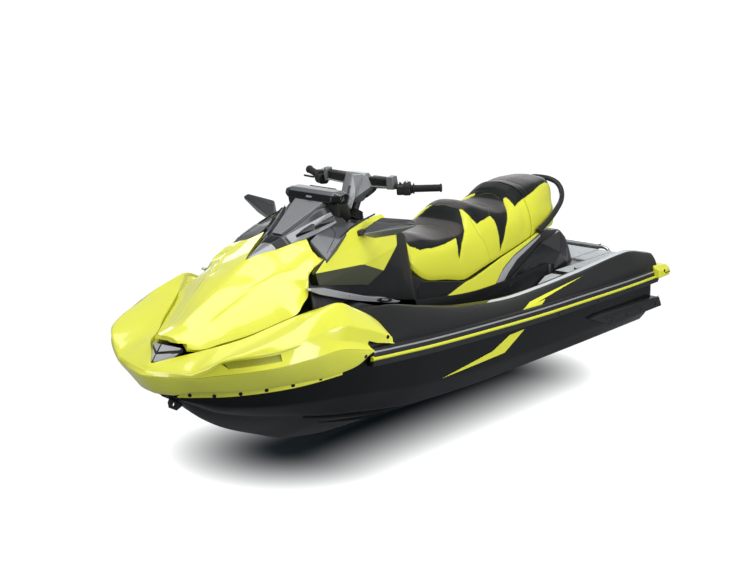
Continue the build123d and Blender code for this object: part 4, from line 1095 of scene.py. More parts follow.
class CRAFT_OT_badge(Operator):
    """Chevron trim on the nose: dark body with two silver blades a side"""
    bl_idname = "craft.badge"
    bl_label = "Nose trim"

    def execute(self, context):
        body = gem("Nose_trim", [(1724, 0, 612), (1664, 0, 684), (1632, 88, 670), (1634, 90, 656), (1668, 58, 620),
            (1632, -88, 670), (1634, -90, 656), (1668, -58, 620), (1600, 60, 640), (1600, -60, 640), (1600, 0, 660)],
            2.0, 2)
        paint(body, "matte_black")
        blades = []
        for side in (1, -1):
            upper = gem("upper", sided((
                (1672, 4, 684), (1697, 4, 655), (1641, 80, 664), (1634, 84, 672), (1665, 6, 672), (1636, 74, 664)),
                side), 1.2, 2)
            lower = gem("lower", sided((
                (1706, 4, 647), (1729, 4, 618), (1676, 56, 622), (1644, 80, 652), (1690, 4, 630), (1656, 56, 638)),
                side), 1.2, 2)
            blades += [paint(upper, "silver"), paint(lower, "silver")]
        trim = join("Nose_trim", body, *blades)
        place(trim, "craft", "silver_trim", "nose_insert")
        return {"FINISHED"}


class CRAFT_OT_hood(Operator):
    """Hood: thin shell with a raised roof, two valleys a side and full flanks"""
    bl_idname = "craft.hood"
    bl_label = "Hood"

    def execute(self, context):
        rings = []
        for x, zr, y1, z1, y2, z2, ye, ze in fair(HOOD, 12):
            ze -= 3
            swell = max(0.0, min(1.0, (1640 - x) / 250.0)) * max(0.0, min(1.0, (x - 850) / 200.0))
            ym, zm = y1 + (y2 - y1) * 0.50, z1 + (z2 - z1) * 0.50 + 7.0 * swell
            half = section([(ye, ze), (y2, z2), (ym, zm), (y1, z1), (0, zr)], [7 * swell, -1.5 * swell, -2.5 * swell,
                1], 5, [0, 9, 7, 9, 0])
            inner = [(0, zr - HOOD_THICK), (y1 - 4, z1 - HOOD_THICK), (y2 - 10, z2 - HOOD_THICK), (ye - 15, ze - 12)]
            ring = [at(x, y, z) for y, z in half] + [at(x, -y, z) for y, z in reversed(half[:-1])]
            ring += [at(x, -y, z) for y, z in reversed(inner[1:])] + [at(x, y, z) for y, z in inner]
            rings.append(ring)
        hood = solid("Hood", rings)
        front = HOOD_FRONT + [(1606, 160), (1720, 160), (1720, -160), (1606, -160)]
        front = front + [(x, -y) for x, y in reversed(HOOD_FRONT[1:])]
        notch = gem("notch", on_both((
            (1740, 0, 606), (1673, 0, 700), (1634, 102, 688), (1614, 104, 650), (1670, 70, 610), (1614, 0, 700),
            (1612, 96, 686), (1612, 0, 600))), 0)
        carve(hood, slab("rear_cut", HOOD_REAR, "Z", 500, 1300), slab("front_cut", front, "Z", 500, 1300), notch)
        hood = soften(hood, 2.5, 2, angle=40)
        even_shading(hood)
        place(paint(hood, "lime"), "hood", "lime_gloss", "hood")
        return {"FINISHED"}


# ---------------------------------------------------------------- cockpit
def shaft_cutter(foot, below, sides):
    """Room for the steering shaft, from below its foot to well above it."""
    return sweep("shaft", [foot - STEER_WAY * below, foot + STEER_WAY * 0.08], round_profile(SHAFT_ROOM, n=sides),
        up=(0, 1, 0), width=0)


class CRAFT_OT_console(Operator):
    """Cockpit console, the grey shoulders beside the cowl and the dark bracket under the display"""
    bl_idname = "craft.console"
    bl_label = "Console"

    def execute(self, context):
        style = context.scene.craft_style
        rings = [both_sides(x, section([(yf, zf), (y1, z1), (y2, z2), (0, zt)], [4, 4, 2], 5, [0, 16, 12, 0]))
                 for x, y1, z1, y2, z2, zt, yf, zf in fair(CONSOLE, style.pitch)]
        console = soften(solid("Console", rings), 8, 3)
        carve(console, box_cutter("glove", 232, 322, -88, 88, 860, 1100, 12),
              box_cutter("lid", 222, 345, -102, 102, 962, 1100, 8), *wells("well_cut", 0, WELL_FLOOR - 15, 900, 20))
        carve(console, shaft_cutter(at(SHAFT_X, 0, 1040), 0.04, 24))
        place(paint(console, "deck"), "craft", "deck_dark", "console")
        wing = gem("Console_shoulders", [
            (876, 204, 998), (908, 286, 958), (872, 284, 984), (781, 264, 1030), (671, 240, 1060), (600, 222, 1068),
            (606, 168, 1072), (720, 150, 1066), (818, 150, 1046), (866, 150, 1022),
            (872, 204, 930), (902, 274, 913), (790, 250, 940), (600, 210, 980), (606, 160, 980), (852, 150, 930)],
            5, 3, mirrored=True)
        place(paint(wing, "graphite"), "craft", "cowl_grey")
        tree = surface(wing)
        seam = []
        for side in (1, -1):
            way = Vector((0, 0, -1))
            run = [lay(tree, at(x, y * side, 1200), way, 0.2)[0] for x, y in (
                (724, 156), (735, 180), (750, 205), (775, 224), (800, 238), (840, 252), (880, 264))]
            seam.append([p for p in run if p is not None])
        line = grow("Shoulder_seams", "bars", "matte_black", lines=seam, radius=0.0016)
        place(line, "craft", "black_matte")
        bracket = gem("Display_bracket", on_both((
            (668, 150, 1168), (640, 152, 1178), (592, 134, 1192), (560, 120, 1160), (518, 116, 1076), (530, 90, 1040),
            (640, 138, 1070), (672, 132, 1110))), 4, 3)
        carve(bracket, box_cutter("display", 500, 640, -92, 92, 1120, 1300))
        place(paint(bracket, "matte_black"), "craft", "black_matte")
        return {"FINISHED"}


class CRAFT_OT_cowl(Operator):
    """Windscreen cowl: lower beak, dark collar and upper fairing with side slots"""
    bl_idname = "craft.cowl"
    bl_label = "Windscreen cowl"

    def execute(self, context):
        def ring(x, grow=0.0, shrink=1.0):
            _, zr, y1, z1, y2, z2, zf = row_at(COWL, x)
            half = [(y2 * shrink + grow, zf), (y2 * shrink + grow, z2), (y1 * shrink + grow * 0.6, z1 + grow), (0, zr
                + grow)]
            return both_sides(x, section(half, [0, 1, 2], 4, [0, 5, 5, 0]))
        beak = soften(solid("beak", [ring(1116 - 15.0 * i) for i in range(10)]), 4, 3)
        even_shading(beak)
        collar = soften(solid("collar", [ring(x, g, s) for x, g, s in ((992, -6, 0.98), (984, 3, 1.0), (938, 4, 1.0),
            (926, -4, 0.98))]), 3, 2)
        even_shading(collar)
        upper = soften(solid("upper", [ring(940 - 15.0 * i) for i in range(23)]), 5, 3)
        even_shading(upper)
        roof = gem("roof", paired((925, 26, 1047), (800, 46, 1108), (690, 84, 1168), (660, 88, 1150),
            (900, 30, 1030)), 4, 3)
        paint(beak, "cowl")
        paint(collar, "gloss_black")
        paint(upper, "cowl_dark")
        paint(roof, "cowl")
        parts = [beak, collar, upper, roof]
        for side in (1, -1):
            plate = gem("side_plate", sided((
                (922, 92, 1008), (922, 54, 1043), (800, 96, 1082), (700, 138, 1132), (690, 168, 1082),
                (800, 138, 1040), (915, 60, 1000), (700, 120, 1060)), side), 3, 2)
            parts.append(paint(plate, "cowl"))
            for x0, x1, y0, z0, y1, z1 in ((890, 800, 92, 1030, 128, 1062), (800, 700, 134, 1062, 164, 1090)):
                slot = gem("slot", sided((
                    (x0, y0, z0), (x0 - 8, y0 + 6, z0 + 22), (x1, y1 - 4, z1 + 26), (x1, y1 + 4, z1 + 2),
                    (x0, y0 - 30, z0), (x1, y1 - 40, z1 + 20)), side), 1.5, 2)
                parts.append(paint(slot, "gloss_black"))
        cowl = join("Front_cowl", *parts)
        place(cowl, "craft", "cowl_grey", "front_cowl")
        return {"FINISHED"}


class CRAFT_OT_display(Operator):
    """Display hood with its brow and centre clip, and both mirrors"""
    bl_idname = "craft.display"
    bl_label = "Display and mirrors"

    def execute(self, context):
        points = []
        for s in (1, -1):
            points += [(x, 128 * s, z) for x, z in ((692, 1166), (684, 1196), (664, 1214), (606, 1216), (548, 1176),
                (556, 1150), (640, 1146))]
            points += [(x, 168 * s, z) for x, z in ((668, 1176), (660, 1200), (622, 1208), (600, 1196), (616, 1168))]
        visor = gem("visor", points, 5, 3)
        carve(visor, slab("pocket", [(600, 1222), (544, 1190), (541, 1170), (530, 1160), (520, 1240), (600, 1240)],
            "Y", -90, 90))
        even_shading(visor)
        paint(visor, "gloss_black", "graphite")
        # painted reflection: the visor's upward top faces take the lighter metallic graphite over the gloss black
        tint(visor, lambda x, y, z, n: 1 if n.z > 0.72 and z > 1190 else 0)
        lower = gem("ledge", paired((690, 120, 1163), (640, 140, 1150), (694, 118, 1169), (664, 160, 1176)), 2, 2)
        clip = gem("clip", [(697, 16, 1180), (697, -16, 1180), (694, 16, 1188), (694, -16, 1188), (676, 18, 1180),
            (676, -18, 1188)], 1.5, 2)
        ends = []
        for s in (1, -1):
            ends.append(paint(gem("end", sided((
                (690, 126, 1164), (660, 172, 1174), (640, 168, 1200), (664, 130, 1160), (630, 150, 1164),
                (640, 172, 1180)), s), 2, 2), "cowl_dark"))
        visor = join("Display_visor", visor, paint(lower, "matte_black"), paint(clip, "cowl"), *ends)
        place(visor, "craft", "visor_black", "display_visor")
        shell = [(649, 268, 1030), (632, 262, 1044), (591, 300, 1086), (565, 326, 1106), (557, 500, 1117),
                 (560, 534, 1096), (581, 420, 1040), (603, 320, 1014), (540, 330, 1040), (535, 400, 1046),
                 (540, 500, 1086), (536, 470, 1100), (533, 350, 1092)]
        for name, side in (("mirror_port", 1), ("mirror_starboard", -1)):
            body = gem("shell", sided(shell, side), 4, 3)
            paint(body, "cowl", "cowl_dark")
            # painted light: the shell's upward faces take the dark grey and its other faces the lighter grey, the
            # tones light gives its facets
            tint(body, lambda x, y, z, n: 1 if n.z > 0.35 else 0)
            arm = gem("arm", sided((
                (660, 214, 1012), (612, 214, 1020), (660, 214, 1040), (612, 214, 1044), (648, 285, 1030),
                (606, 285, 1034), (640, 285, 1052), (610, 285, 1058)), side), 3, 3)
            glass = gem("glass", sided((
                (532, 345, 1046), (530, 358, 1088), (532, 470, 1096), (536, 494, 1086), (532, 400, 1050),
                (536, 345, 1048), (536, 470, 1094)), side), 0.8, 1)
            blade = gem("blade", sided((
                (592, 306, 1088), (566, 330, 1108), (559, 500, 1119), (563, 530, 1100), (575, 470, 1098),
                (596, 330, 1070), (580, 330, 1080), (566, 480, 1095)), side), 2, 2)
            mirror = join(name.capitalize(), body, paint(arm, "matte_black"), paint(glass, "glass"), paint(blade,
                "cowl_dark"))
            place(mirror, "craft", "cowl_grey", name)
        return {"FINISHED"}


class CRAFT_OT_side_covers(Operator):
    """Faceted side covers, their dark lower faces of dark plastic with painted shade, and the silver blade trims below
    """
    bl_idname = "craft.side_covers"
    bl_label = "Side covers"

    def execute(self, context):
        outer = [(990, 290, 912), (868, 266, 970), (760, 253, 1034), (678, 245, 1062), (599, 240, 1078),
                 (489, 236, 1094), (443, 236, 1094), (360, 262, 980), (385, 284, 940), (506, 300, 843),
                 (615, 294, 792), (974, 296, 856), (664, 308, 901), (400, 262, 1040)]
        inner = [(974, 205, 910), (760, 202, 1020), (470, 202, 1088), (330, 205, 970), (440, 205, 845),
                 (590, 205, 792), (960, 205, 856)]
        for name, side in (("side_cover_port", 1), ("side_cover_starboard", -1)):
            cover = gem(name.capitalize(),
                        sided(outer + inner, side), 5, 3)
            paint(cover, "lime", "olive_dark_and_shade")
            # lower faces: dark plastic with painted shade, an olive darker than the lit lime
            tint(cover, lambda x, y, z, n: 1 if z < (901 + (x - 664) * 0.0387 if x > 664 else 843 + (x - 506) * 0.367)
                 else 0)
            place(cover, "craft", "lime_gloss", name)
        rims = []
        for side in (1, -1):
            rims.append([at(x, (y - 3) * side, z + 1) for x, y, z in (
                (1006, 288, 908), (868, 265, 978), (760, 250, 1038), (678, 242, 1066), (599, 237, 1082),
                (489, 233, 1098))])
        seam = grow("Cover_seams", "bars", "matte_black", lines=rims, radius=0.004)
        place(seam, "craft", "black_matte")
        blade = [(1076, 856), (1072, 866), (974, 850), (838, 806), (661, 752), (542, 726), (437, 690), (410, 682),
                 (440, 680), (541, 700), (735, 746), (874, 784), (1009, 826)]
        trims = slab("blades", blade, "Y", lambda x, z: 296 + (x - 400) * 0.02, lambda x, z: 330
            + 8 * math.sin(math.pi * min(1, max(0, (x - 400) / 680))), 3.5, mirrored=True)
        paint(trims, "silver")
        pads = []
        for side in (1, -1):
            pads.append(paint(gem("pad", sided((
                (604, 338, 722), (590, 345, 734), (522, 346, 722), (486, 340, 704), (505, 340, 698), (570, 342, 708),
                (600, 325, 720), (490, 325, 706)), side), 2, 2), "matte_black"))
            pads.append(paint(gem("lug", sided((
                (582, 347, 722), (576, 348, 728), (536, 349, 720), (524, 347, 713), (548, 347, 712),
                (570, 330, 720), (530, 330, 714)), side), 1.2, 2), "silver"))
        trims = join("Side_blades", trims, *pads)
        place(trims, "craft", "silver_trim", "cockpit_side_trims")
        return {"FINISHED"}


# ---------------------------------------------------------------- steering
GRIP_END, GRIP_START = (207, 401, 1204), (270, 290, 1196)


def lathe(name, start, end, profile, n=28):
    """Turned shape between two points: profile rows are (place 0 to 1, radius mm)."""
    axis = (end - start).normalized()
    across = axis.cross(Vector((0, 0, 1))).normalized()
    rise = across.cross(axis).normalized()
    rings = []
    for s, r in profile:
        mid = start + (end - start) * s
        rings.append([mid + (across * math.cos(2 * math.pi * i / n) + rise * math.sin(2 * math.pi * i / n)) * r / 1000
            for i in range(n)])
    return settle(solid(name, rings, False), 50)


class CRAFT_OT_steering(Operator):
    """Handlebar cover, clamps, switch pods, ribbed grips and the steering boot"""
    bl_idname = "craft.steering"
    bl_label = "Steering"

    def execute(self, context):
        front = gem("face", paired((344, 56, 1252), (324, 92, 1197), (388, 0, 1182), (392, 34, 1178), (416, 14, 1112),
            (404, 44, 1140), (300, 50, 1250), (288, 84, 1192), (320, 30, 1110), (372, 0, 1246)), 5, 3)
        paint(front, "cowl")
        rear = gem("rear", paired((312, 60, 1236), (268, 60, 1226), (262, 88, 1196), (276, 70, 1158),
            (330, 60, 1130)), 6, 3)
        paint(rear, "matte_black")
        ridge = gem("ridge", paired((392, 8, 1188), (424, 3, 1106), (364, 6, 1244), (350, 6, 1240), (400, 4, 1110)),
            1.5, 2)
        paint(ridge, "cowl_dark")
        tongue = gem("tongue", on_both((
            (446, 14, 1088), (432, 42, 1094), (434, 14, 1079), (424, 38, 1086), (424, 10, 1124), (406, 42, 1142),
            (392, 40, 1150))), 4, 3)
        sides = []
        for side in (1, -1):
            pad = gem("pad", sided((
                (336, 70, 1236), (330, 190, 1238), (300, 190, 1244), (288, 70, 1240), (322, 190, 1194),
                (330, 80, 1186), (286, 190, 1196), (280, 80, 1186)), side), 6, 3)
            clamp = gem("clamp", sided((
                (344, 182, 1248), (332, 212, 1252), (300, 182, 1254), (296, 212, 1254), (338, 182, 1188),
                (322, 212, 1188), (282, 182, 1188), (278, 212, 1188)), side), 3, 3)
            strip = gem("strip", sided((
                (338, 74, 1196), (334, 184, 1202), (338, 74, 1189), (334, 184, 1194), (322, 74, 1192),
                (320, 184, 1198)), side), 1.5, 2)
            sides += [paint(pad, "matte_black"), paint(clamp, "cowl"), paint(strip, "silver")]
        cover = join("Handlebar_cover", front, rear, ridge, paint(tongue, "cowl"), *sides)
        place(cover, "handlebar", "cowl_grey", "handlebar_cover")
        for name, side in (("switch_pod_port", 1), ("throttle_pod_starboard", -1)):
            start, end = [at(x, y * side, z) for x, y, z in (GRIP_START, GRIP_END)]
            out = (end - start).normalized()
            across = out.cross(Vector((0, 0, 1))).normalized()
            rise = across.cross(out).normalized()
            pods = []
            for low, high, size, top in ((-78, -40, 0.92, 26), (-46, -12, 1.0, 34), (-14, -2, 0.74, 24)):
                spots = []
                for t in (low, high):
                    for a, b in ((-28, -16), (-20, -30), (16, -30), (26, -18), (26, 14), (14, top), (-16, top),
                            (-28, 14)):
                        p = start + out * (t / 1000) + across * (a * size / 1000) + rise * (b * size / 1000)
                        spots.append((p.x * 1000, p.y * 1000, p.z * 1000 + WATERLINE))
                pods.append(paint(gem("pod", spots, 5, 3), "matte_black"))
            for t, a, b, r in ((-30, 8, 32, 6.5), (-58, 10, 22, 5.0), (-64, -10, 22, 4.0)):
                p = start + out * (t / 1000) + across * (a / 1000) + rise * (b / 1000)
                button = lathe("button", p, p + rise * 0.010, [(0, r), (0.8, r), (1, r - 1.2)], 18)
                pods.append(paint(button, "silver" if t == -30 else "grip"))
            seam = lathe("seam", start + out * -0.046, start + out * -0.0445, [(0, 24), (1, 24)], 24)
            pod = join(name.capitalize(), *pods, paint(seam, "gloss_black"))
            place(pod, "handlebar", "black_matte", name)
            rows = [(0, 25), (0.03, 25), (0.035, 17.5)]
            for i in range(22):
                s = 0.06 + 0.86 * i / 22
                rows += [(s, 15.8), (s + 0.008, 17.4), (s + 0.028, 17.4), (s + 0.036, 15.8)]
            rows += [(0.93, 17.5), (0.94, 20.0), (0.985, 20.0), (1.0, 17.0)]
            end_piece = "grip_port" if side == 1 else "grip_starboard"
            grip = lathe(end_piece.capitalize(), start, end + out * 0.008, rows)
            place(paint(grip, "grip"), "handlebar", "grip_rubber", end_piece)
        foot = at(SHAFT_X, 0, 1030)
        rows = [(0, 64), (0.06, 66)]
        for i in range(5):
            s = 0.10 + 0.17 * i
            r = 62 - 3.6 * i
            rows += [(s, r), (s + 0.06, r - 7), (s + 0.12, r - 7), (s + 0.17, r - 3)]
        rows += [(0.98, 42), (1.0, 36)]
        bellows = lathe("Steering_boot", foot - STEER_WAY * 0.004, foot + STEER_WAY * 0.046, rows, 40)
        carve(bellows, shaft_cutter(foot, 0.06, 32), slab("lid_swing", [(347, 970), (303, 1050), (303, 1120),
            (225, 1120), (225, 970)], "Y", -130, 130))
        place(paint(bellows, "grip"), "craft", "black_matte", "steering_boot")
        return {"FINISHED"}


# ---------------------------------------------------------------- seats
def seat_half(x, table):
    """Corners of a cushion's port half section, foot to crown."""
    _, zc, y1, z1, y2, z2, yf, zf = row_at(table, x)
    return [(0, zf), (yf - 6, zf), (yf, zf + 22), (y2, z2), (y1, z1), (0, zc)]


def seat_section(x, table):
    return section(seat_half(x, table), [0, 0, 7, 7, 3], [3, 2, 20, 22, 26], [0, 5, 8, 26, 40, 0], 6)


def girths(points):
    """Distance of each section point from the crown, along the section, in mm."""
    total, out = 0.0, [0.0]
    for a, b in zip(reversed(points), list(reversed(points))[1:]):
        total += math.hypot(a[0] - b[0], a[1] - b[1])
        out.append(total)
    return list(reversed(out))


def unrolled(x, y, z):
    """A point on a seat's skin as (x, distance from the crown)."""
    table = SEAT if x > SEAT_SPLIT else REAR_SEAT
    points = seat_section(max(min(x, table[0][0]), table[-1][0]), table)
    far = girths(points)
    best = min(range(len(points)), key=lambda i: (points[i][0] - y) ** 2 + (points[i][1] - z) ** 2)
    return x, far[best] if y > 1 else 0.0


def to_segment(px, py, ax, ay, bx, by):
    """Distance from a point to a stretch of straight line."""
    dx, dy = bx - ax, by - ay
    t = max(0.0, min(1.0, ((px - ax) * dx + (py - ay) * dy) / (dx * dx + dy * dy + 1e-9)))
    return math.hypot(px - ax - dx * t, py - ay - dy * t)


def inside(px, py, outline):
    """Whether a point lies in a closed outline."""
    odd = False
    for (ax, ay), (bx, by) in zip(outline, outline[1:] + outline[:1]):
        if (ay > py) != (by > py) and px < (bx - ax) * (py - ay) / (by - ay) + ax:
            odd = not odd
    return odd


def eased(line, steps=4):
    """A finer, smoother line through unrolled points."""
    pts = [line[0]] + list(line) + [line[-1]]
    out = []
    for i in range(1, len(pts) - 2):
        (ax, ay), (bx, by), (cx, cy), (dx, dy) = pts[i - 1:i + 3]
        for j in range(steps):
            t = j / steps
            out.append(tuple(0.5 * (2 * q + (r - p) * t + (2 * p - 5 * q + 4 * r - s) * t * t + (3 * q - p - 3 * r
                + s) * t ** 3) for p, q, r, s in ((ax, bx, cx, dx), (ay, by, cy, dy))))
    out.append(line[-1])
    return out


def nearest(lines, px, far, reach, start):
    """Distance from an unrolled point to the nearest of the lines, or start where none is near."""
    gap = start
    for line in lines:
        gap = min([gap] + [to_segment(px, far, *a, *b) for a, b in zip(line, line[1:]) if max(a[1], b[1]) > 0
            and abs(px - a[0]) < reach])
    return gap


def seat_skin(name, table, patches, seams):
    """Closed cushion, full between its seams, whose points know how far patches and seams are."""
    bm = bmesh.new()
    zone, seam, pad = [bm.verts.layers.float.new(label) for label in ("zone", "seam", "pad")]
    grid = []
    for row in fair(table, 5.0):
        points = seat_section(row[0], table)
        far = girths(points)
        fars = far + [f for p, f in reversed(list(zip(points, far))) if abs(p[0]) > 1e-6]
        line = []
        for p, f in zip(both_sides(row[0], points), fars):
            v = bm.verts.new(p)
            gap = nearest(patches, row[0], f, 130, FAR_FROM_SEAM)
            v[zone] = (-gap if any(inside(row[0], f, patch) for patch in patches) else gap) / 1000.0
            v[seam] = nearest(seams, row[0], f, 90, gap) / 1000.0
            line.append(v)
        grid.append(line)
    for a, b in zip(grid, grid[1:]):
        for j in range(len(a)):
            k = (j + 1) % len(a)
            bm.faces.new([a[j], a[k], b[k], b[j]])
    bm.faces.new(list(reversed(grid[0])))
    bm.faces.new(grid[-1])
    bmesh.ops.recalc_face_normals(bm, faces=bm.faces)
    bm.normal_update()
    ends = set(grid[0] + grid[-1])
    moves = []
    for v in bm.verts:
        d = v[seam] * 1000.0
        push = PUFF * (1 - math.exp(-d / PUFF_REACH)) - TUCK * math.exp(-(d / TUCK_REACH) ** 2) - SKIN_IN
        moves.append((v, v.normal * (push / 1000.0) if v not in ends else Vector((0, 0, 0))))
    for v, move in moves:
        v.co += move
        # painted light: 'pad' is 1 where the skin faces up, so the dark grips read lighter there
        v[pad] = max(0.0, min(1.0, (v.normal.z - TOP_LIGHT_SLOPE) / TOP_LIGHT_FADE))
    seat = link(name, bm)
    modify(seat, "BEVEL", width=0.0015, segments=2, limit_method="ANGLE", angle_limit=math.radians(60))
    return paint(settle(seat, 60), "vinyl")


def stitch_run(tree, table, outline, off, side):
    """Points on a seat's skin along an unrolled outline, off to its side."""
    run = []
    for (ax, ay), (bx, by) in zip(outline, outline[1:]):
        length = math.hypot(bx - ax, by - ay) + 1e-9
        px, far = (ax + bx) / 2 + (by - ay) / length * off, (ay + by) / 2 - (bx - ax) / length * off
        if not (table[-1][0] + 8 < px < table[0][0] - 8 and 3 < far):
            continue
        points = seat_section(px, table)
        along = girths(points)
        y, z = points[min(range(len(points)), key=lambda k: abs(along[k] - far))]
        spot = at(px, side * y, z)
        way = (at(px, 0, 820) - spot).normalized()
        hit, _ = lay(tree, spot - way * 0.05, way, 0.1)
        if hit is not None:
            run.append(hit)
    return run


class CRAFT_OT_seats(Operator):
    """Front and rear cushions with dark grip patches, bolsters, sewn seams and stitches"""
    bl_idname = "craft.seats"
    bl_label = "Seats"

    def execute(self, context):
        patches = []
        for patch in SEAT_PATCHES:
            flat = [unrolled(*p) for p in patch]
            ends = (0, len(flat) - 1)
            patches.append([(q[0], OVER_CROWN) if i in ends or g[1] <= 1 else q for i, (q, g) in enumerate(zip(flat,
                patch))])
        seams = [eased([unrolled(*p) for p in line]) for line in SEAT_SEAMS]
        for name, table, body in (("Front_seat", SEAT, "front_seat"), ("Rear_seat", REAR_SEAT, "rear_seat")):
            near = [p for p in patches if any(table[-1][0] - 80 < q[0] < table[0][0] + 80 for q in p)]
            sewn = [s for s in seams if any(table[-1][0] - 5 < q[0] < table[0][0] + 5 for q in s)]
            seat = seat_skin(name, table, near, sewn)
            place(seat, body, "seat_vinyl", body)
            tree = surface(seat)
            runs = [(eased([q for q in p if q[1] > 0], 3), PATCH_OFFSET) for p in near]
            runs += [(line, SEAM_OFFSET) for line in sewn]
            lines = [stitch_run(tree, table, line, off, side) for line, off in runs for side in (1, -1)]
            sewing = grow(name + "_stitches", "stitches", "thread", lines=[run for run in lines if len(run) > 2],
                pitch=context.scene.craft_style.stitch_pitch)
            place(sewing, body, "seat_vinyl")
        return {"FINISHED"}


def flank(x, z):
    """Half width of the seat base at a place on its side."""
    _, yf, zf, yt, zt = row_at(PEDESTAL, max(min(x, 202), -1385))
    return yf + (yt - yf) * max(0.0, min(1.0, (z - zf) / (zt - zf)))


class CRAFT_OT_seat_base(Operator):
    """Seat base with its lime side trims, silver stripes, dark panels and the passenger's grab rail"""
    bl_idname = "craft.seat_base"
    bl_label = "Seat base"

    def execute(self, context):
        style = context.scene.craft_style
        rings = []
        for x, yf, zf, yt, zt in fair(PEDESTAL, style.pitch):
            half = [(0, zf), (yf, zf), (yt, zt - 4), (0, zt - 4)]
            rings.append(both_sides(x, section(half, [0, 3, 0], 5, [0, 4, 8, 0])))
        base = soften(solid("Seat_base", rings), 6, 3)
        carve(base, box_cutter("hatch", *HATCH), *wells("well_cut", 15, WELL_FLOOR - 15, 900, 20),
              box_cutter("below", -1400, 260, -300, 300, 400, 549))
        place(paint(base, "deck"), "craft", "deck_dark", "seat_base")
        def plate(name, outline, finish, proud, rounding, depth=14):
            piece = slab(name, outline, "Y", lambda x, z: flank(x, z) - depth, lambda x, z: flank(x, z) + proud,
                rounding, mirrored=True)
            return paint(piece, finish)
        lime = plate("Base_trims", [(14, 586), (-48, 566), (-237, 554), (-451, 550), (-477, 576), (-528, 618),
            (-580, 656), (-686, 703), (-840, 744), (-978, 780), (-1080, 806), (-1086, 816), (-1000, 794), (-840, 760),
            (-700, 733), (-578, 710), (-400, 668), (-300, 648), (-235, 640)], "lime", 9, 3, 1)
        place(lime, "craft", "lime_gloss", "seat_base_trims")
        silver = plate("Base_stripes", [(-458, 548), (-486, 575), (-534, 614), (-586, 650), (-690, 697), (-842, 737),
            (-975, 768), (-965, 755), (-858, 722), (-715, 676), (-625, 626), (-575, 590), (-535, 545)], "silver", 6, 2)
        place(silver, "craft", "silver_trim")
        corners = ((-540, 556, 8), (-600, 553, 12), (-705, 624, 12), (-965, 724, 12), (-1212, 745, 22),
            (-1280, 668, 18), (-1290, 620, 12), (-1262, 553, 12), (-1060, 553, 14), (-1150, 640, 26))
        rear = gem("Base_side_panels", [(x, flank(x, z) + out, z) for x, z, out in corners]
                   + [(x, 150, z) for x, z, out in corners], 5, 3, mirrored=True)
        place(paint(rear, "panel"), "craft", "deck_dark")
        front = plate("Base_front_panels", [(180, 690), (150, 716), (60, 700), (-90, 674), (-215, 650), (-40, 596),
            (0, 592), (120, 600), (170, 640)], "panel", 5, 4)
        place(front, "craft", "deck_dark")
        points = [at(-922, 240, 794), at(-1025, 233, 830), at(-1149, 207, 872), at(-1256, 170, 906),
                  at(-1308, 138, 948), at(-1322, 100, 986), at(-1320, 50, 1004), at(-1320, 0, 1007)]
        port = faired_path(points, 14)
        line = port + [Vector((p.x, -p.y, p.z)) for p in reversed(port[:-1])]
        rail = sweep("rail", line, round_profile(15, 14, 20), width=2)
        paint(rail, "matte_black")
        n = len(line)
        def strip(lo, hi, flip):
            run = line[int(n * lo):int(n * hi)]
            def shape(s):
                taper = max(0.25, min(1.0, 6 * s, 6 - 6 * s))
                pts = [(15.4 * math.cos(a), 14.4 * math.sin(a) * taper) for a in
                       [math.radians(-52 + 104 * i / 8) for i in range(9)]]
                pts += [(12.0, 8.0 * taper), (12.0, -8.0 * taper)]
                return [(-a, b) for a, b in reversed(pts)] if flip else pts
            return paint(sweep("inlay", run, shape, width=0), "silver")
        rail = join("Grab_rail", rail, strip(0.09, 0.40, True), strip(0.60, 0.91, True))
        place(rail, "craft", "stainless", "grab_rail")
        return {"FINISHED"}


# ---------------------------------------------------------------- outside trim
def rail_line(x0, x1, side):
    """The rub rail's middle line on one side, between two stations."""
    pts = []
    for i in range(91):
        x = x0 + (x1 - x0) * i / 90
        _, y, z = row_at(RUB_RAIL, x)
        pts.append(at(x, side * y, z))
    return pts


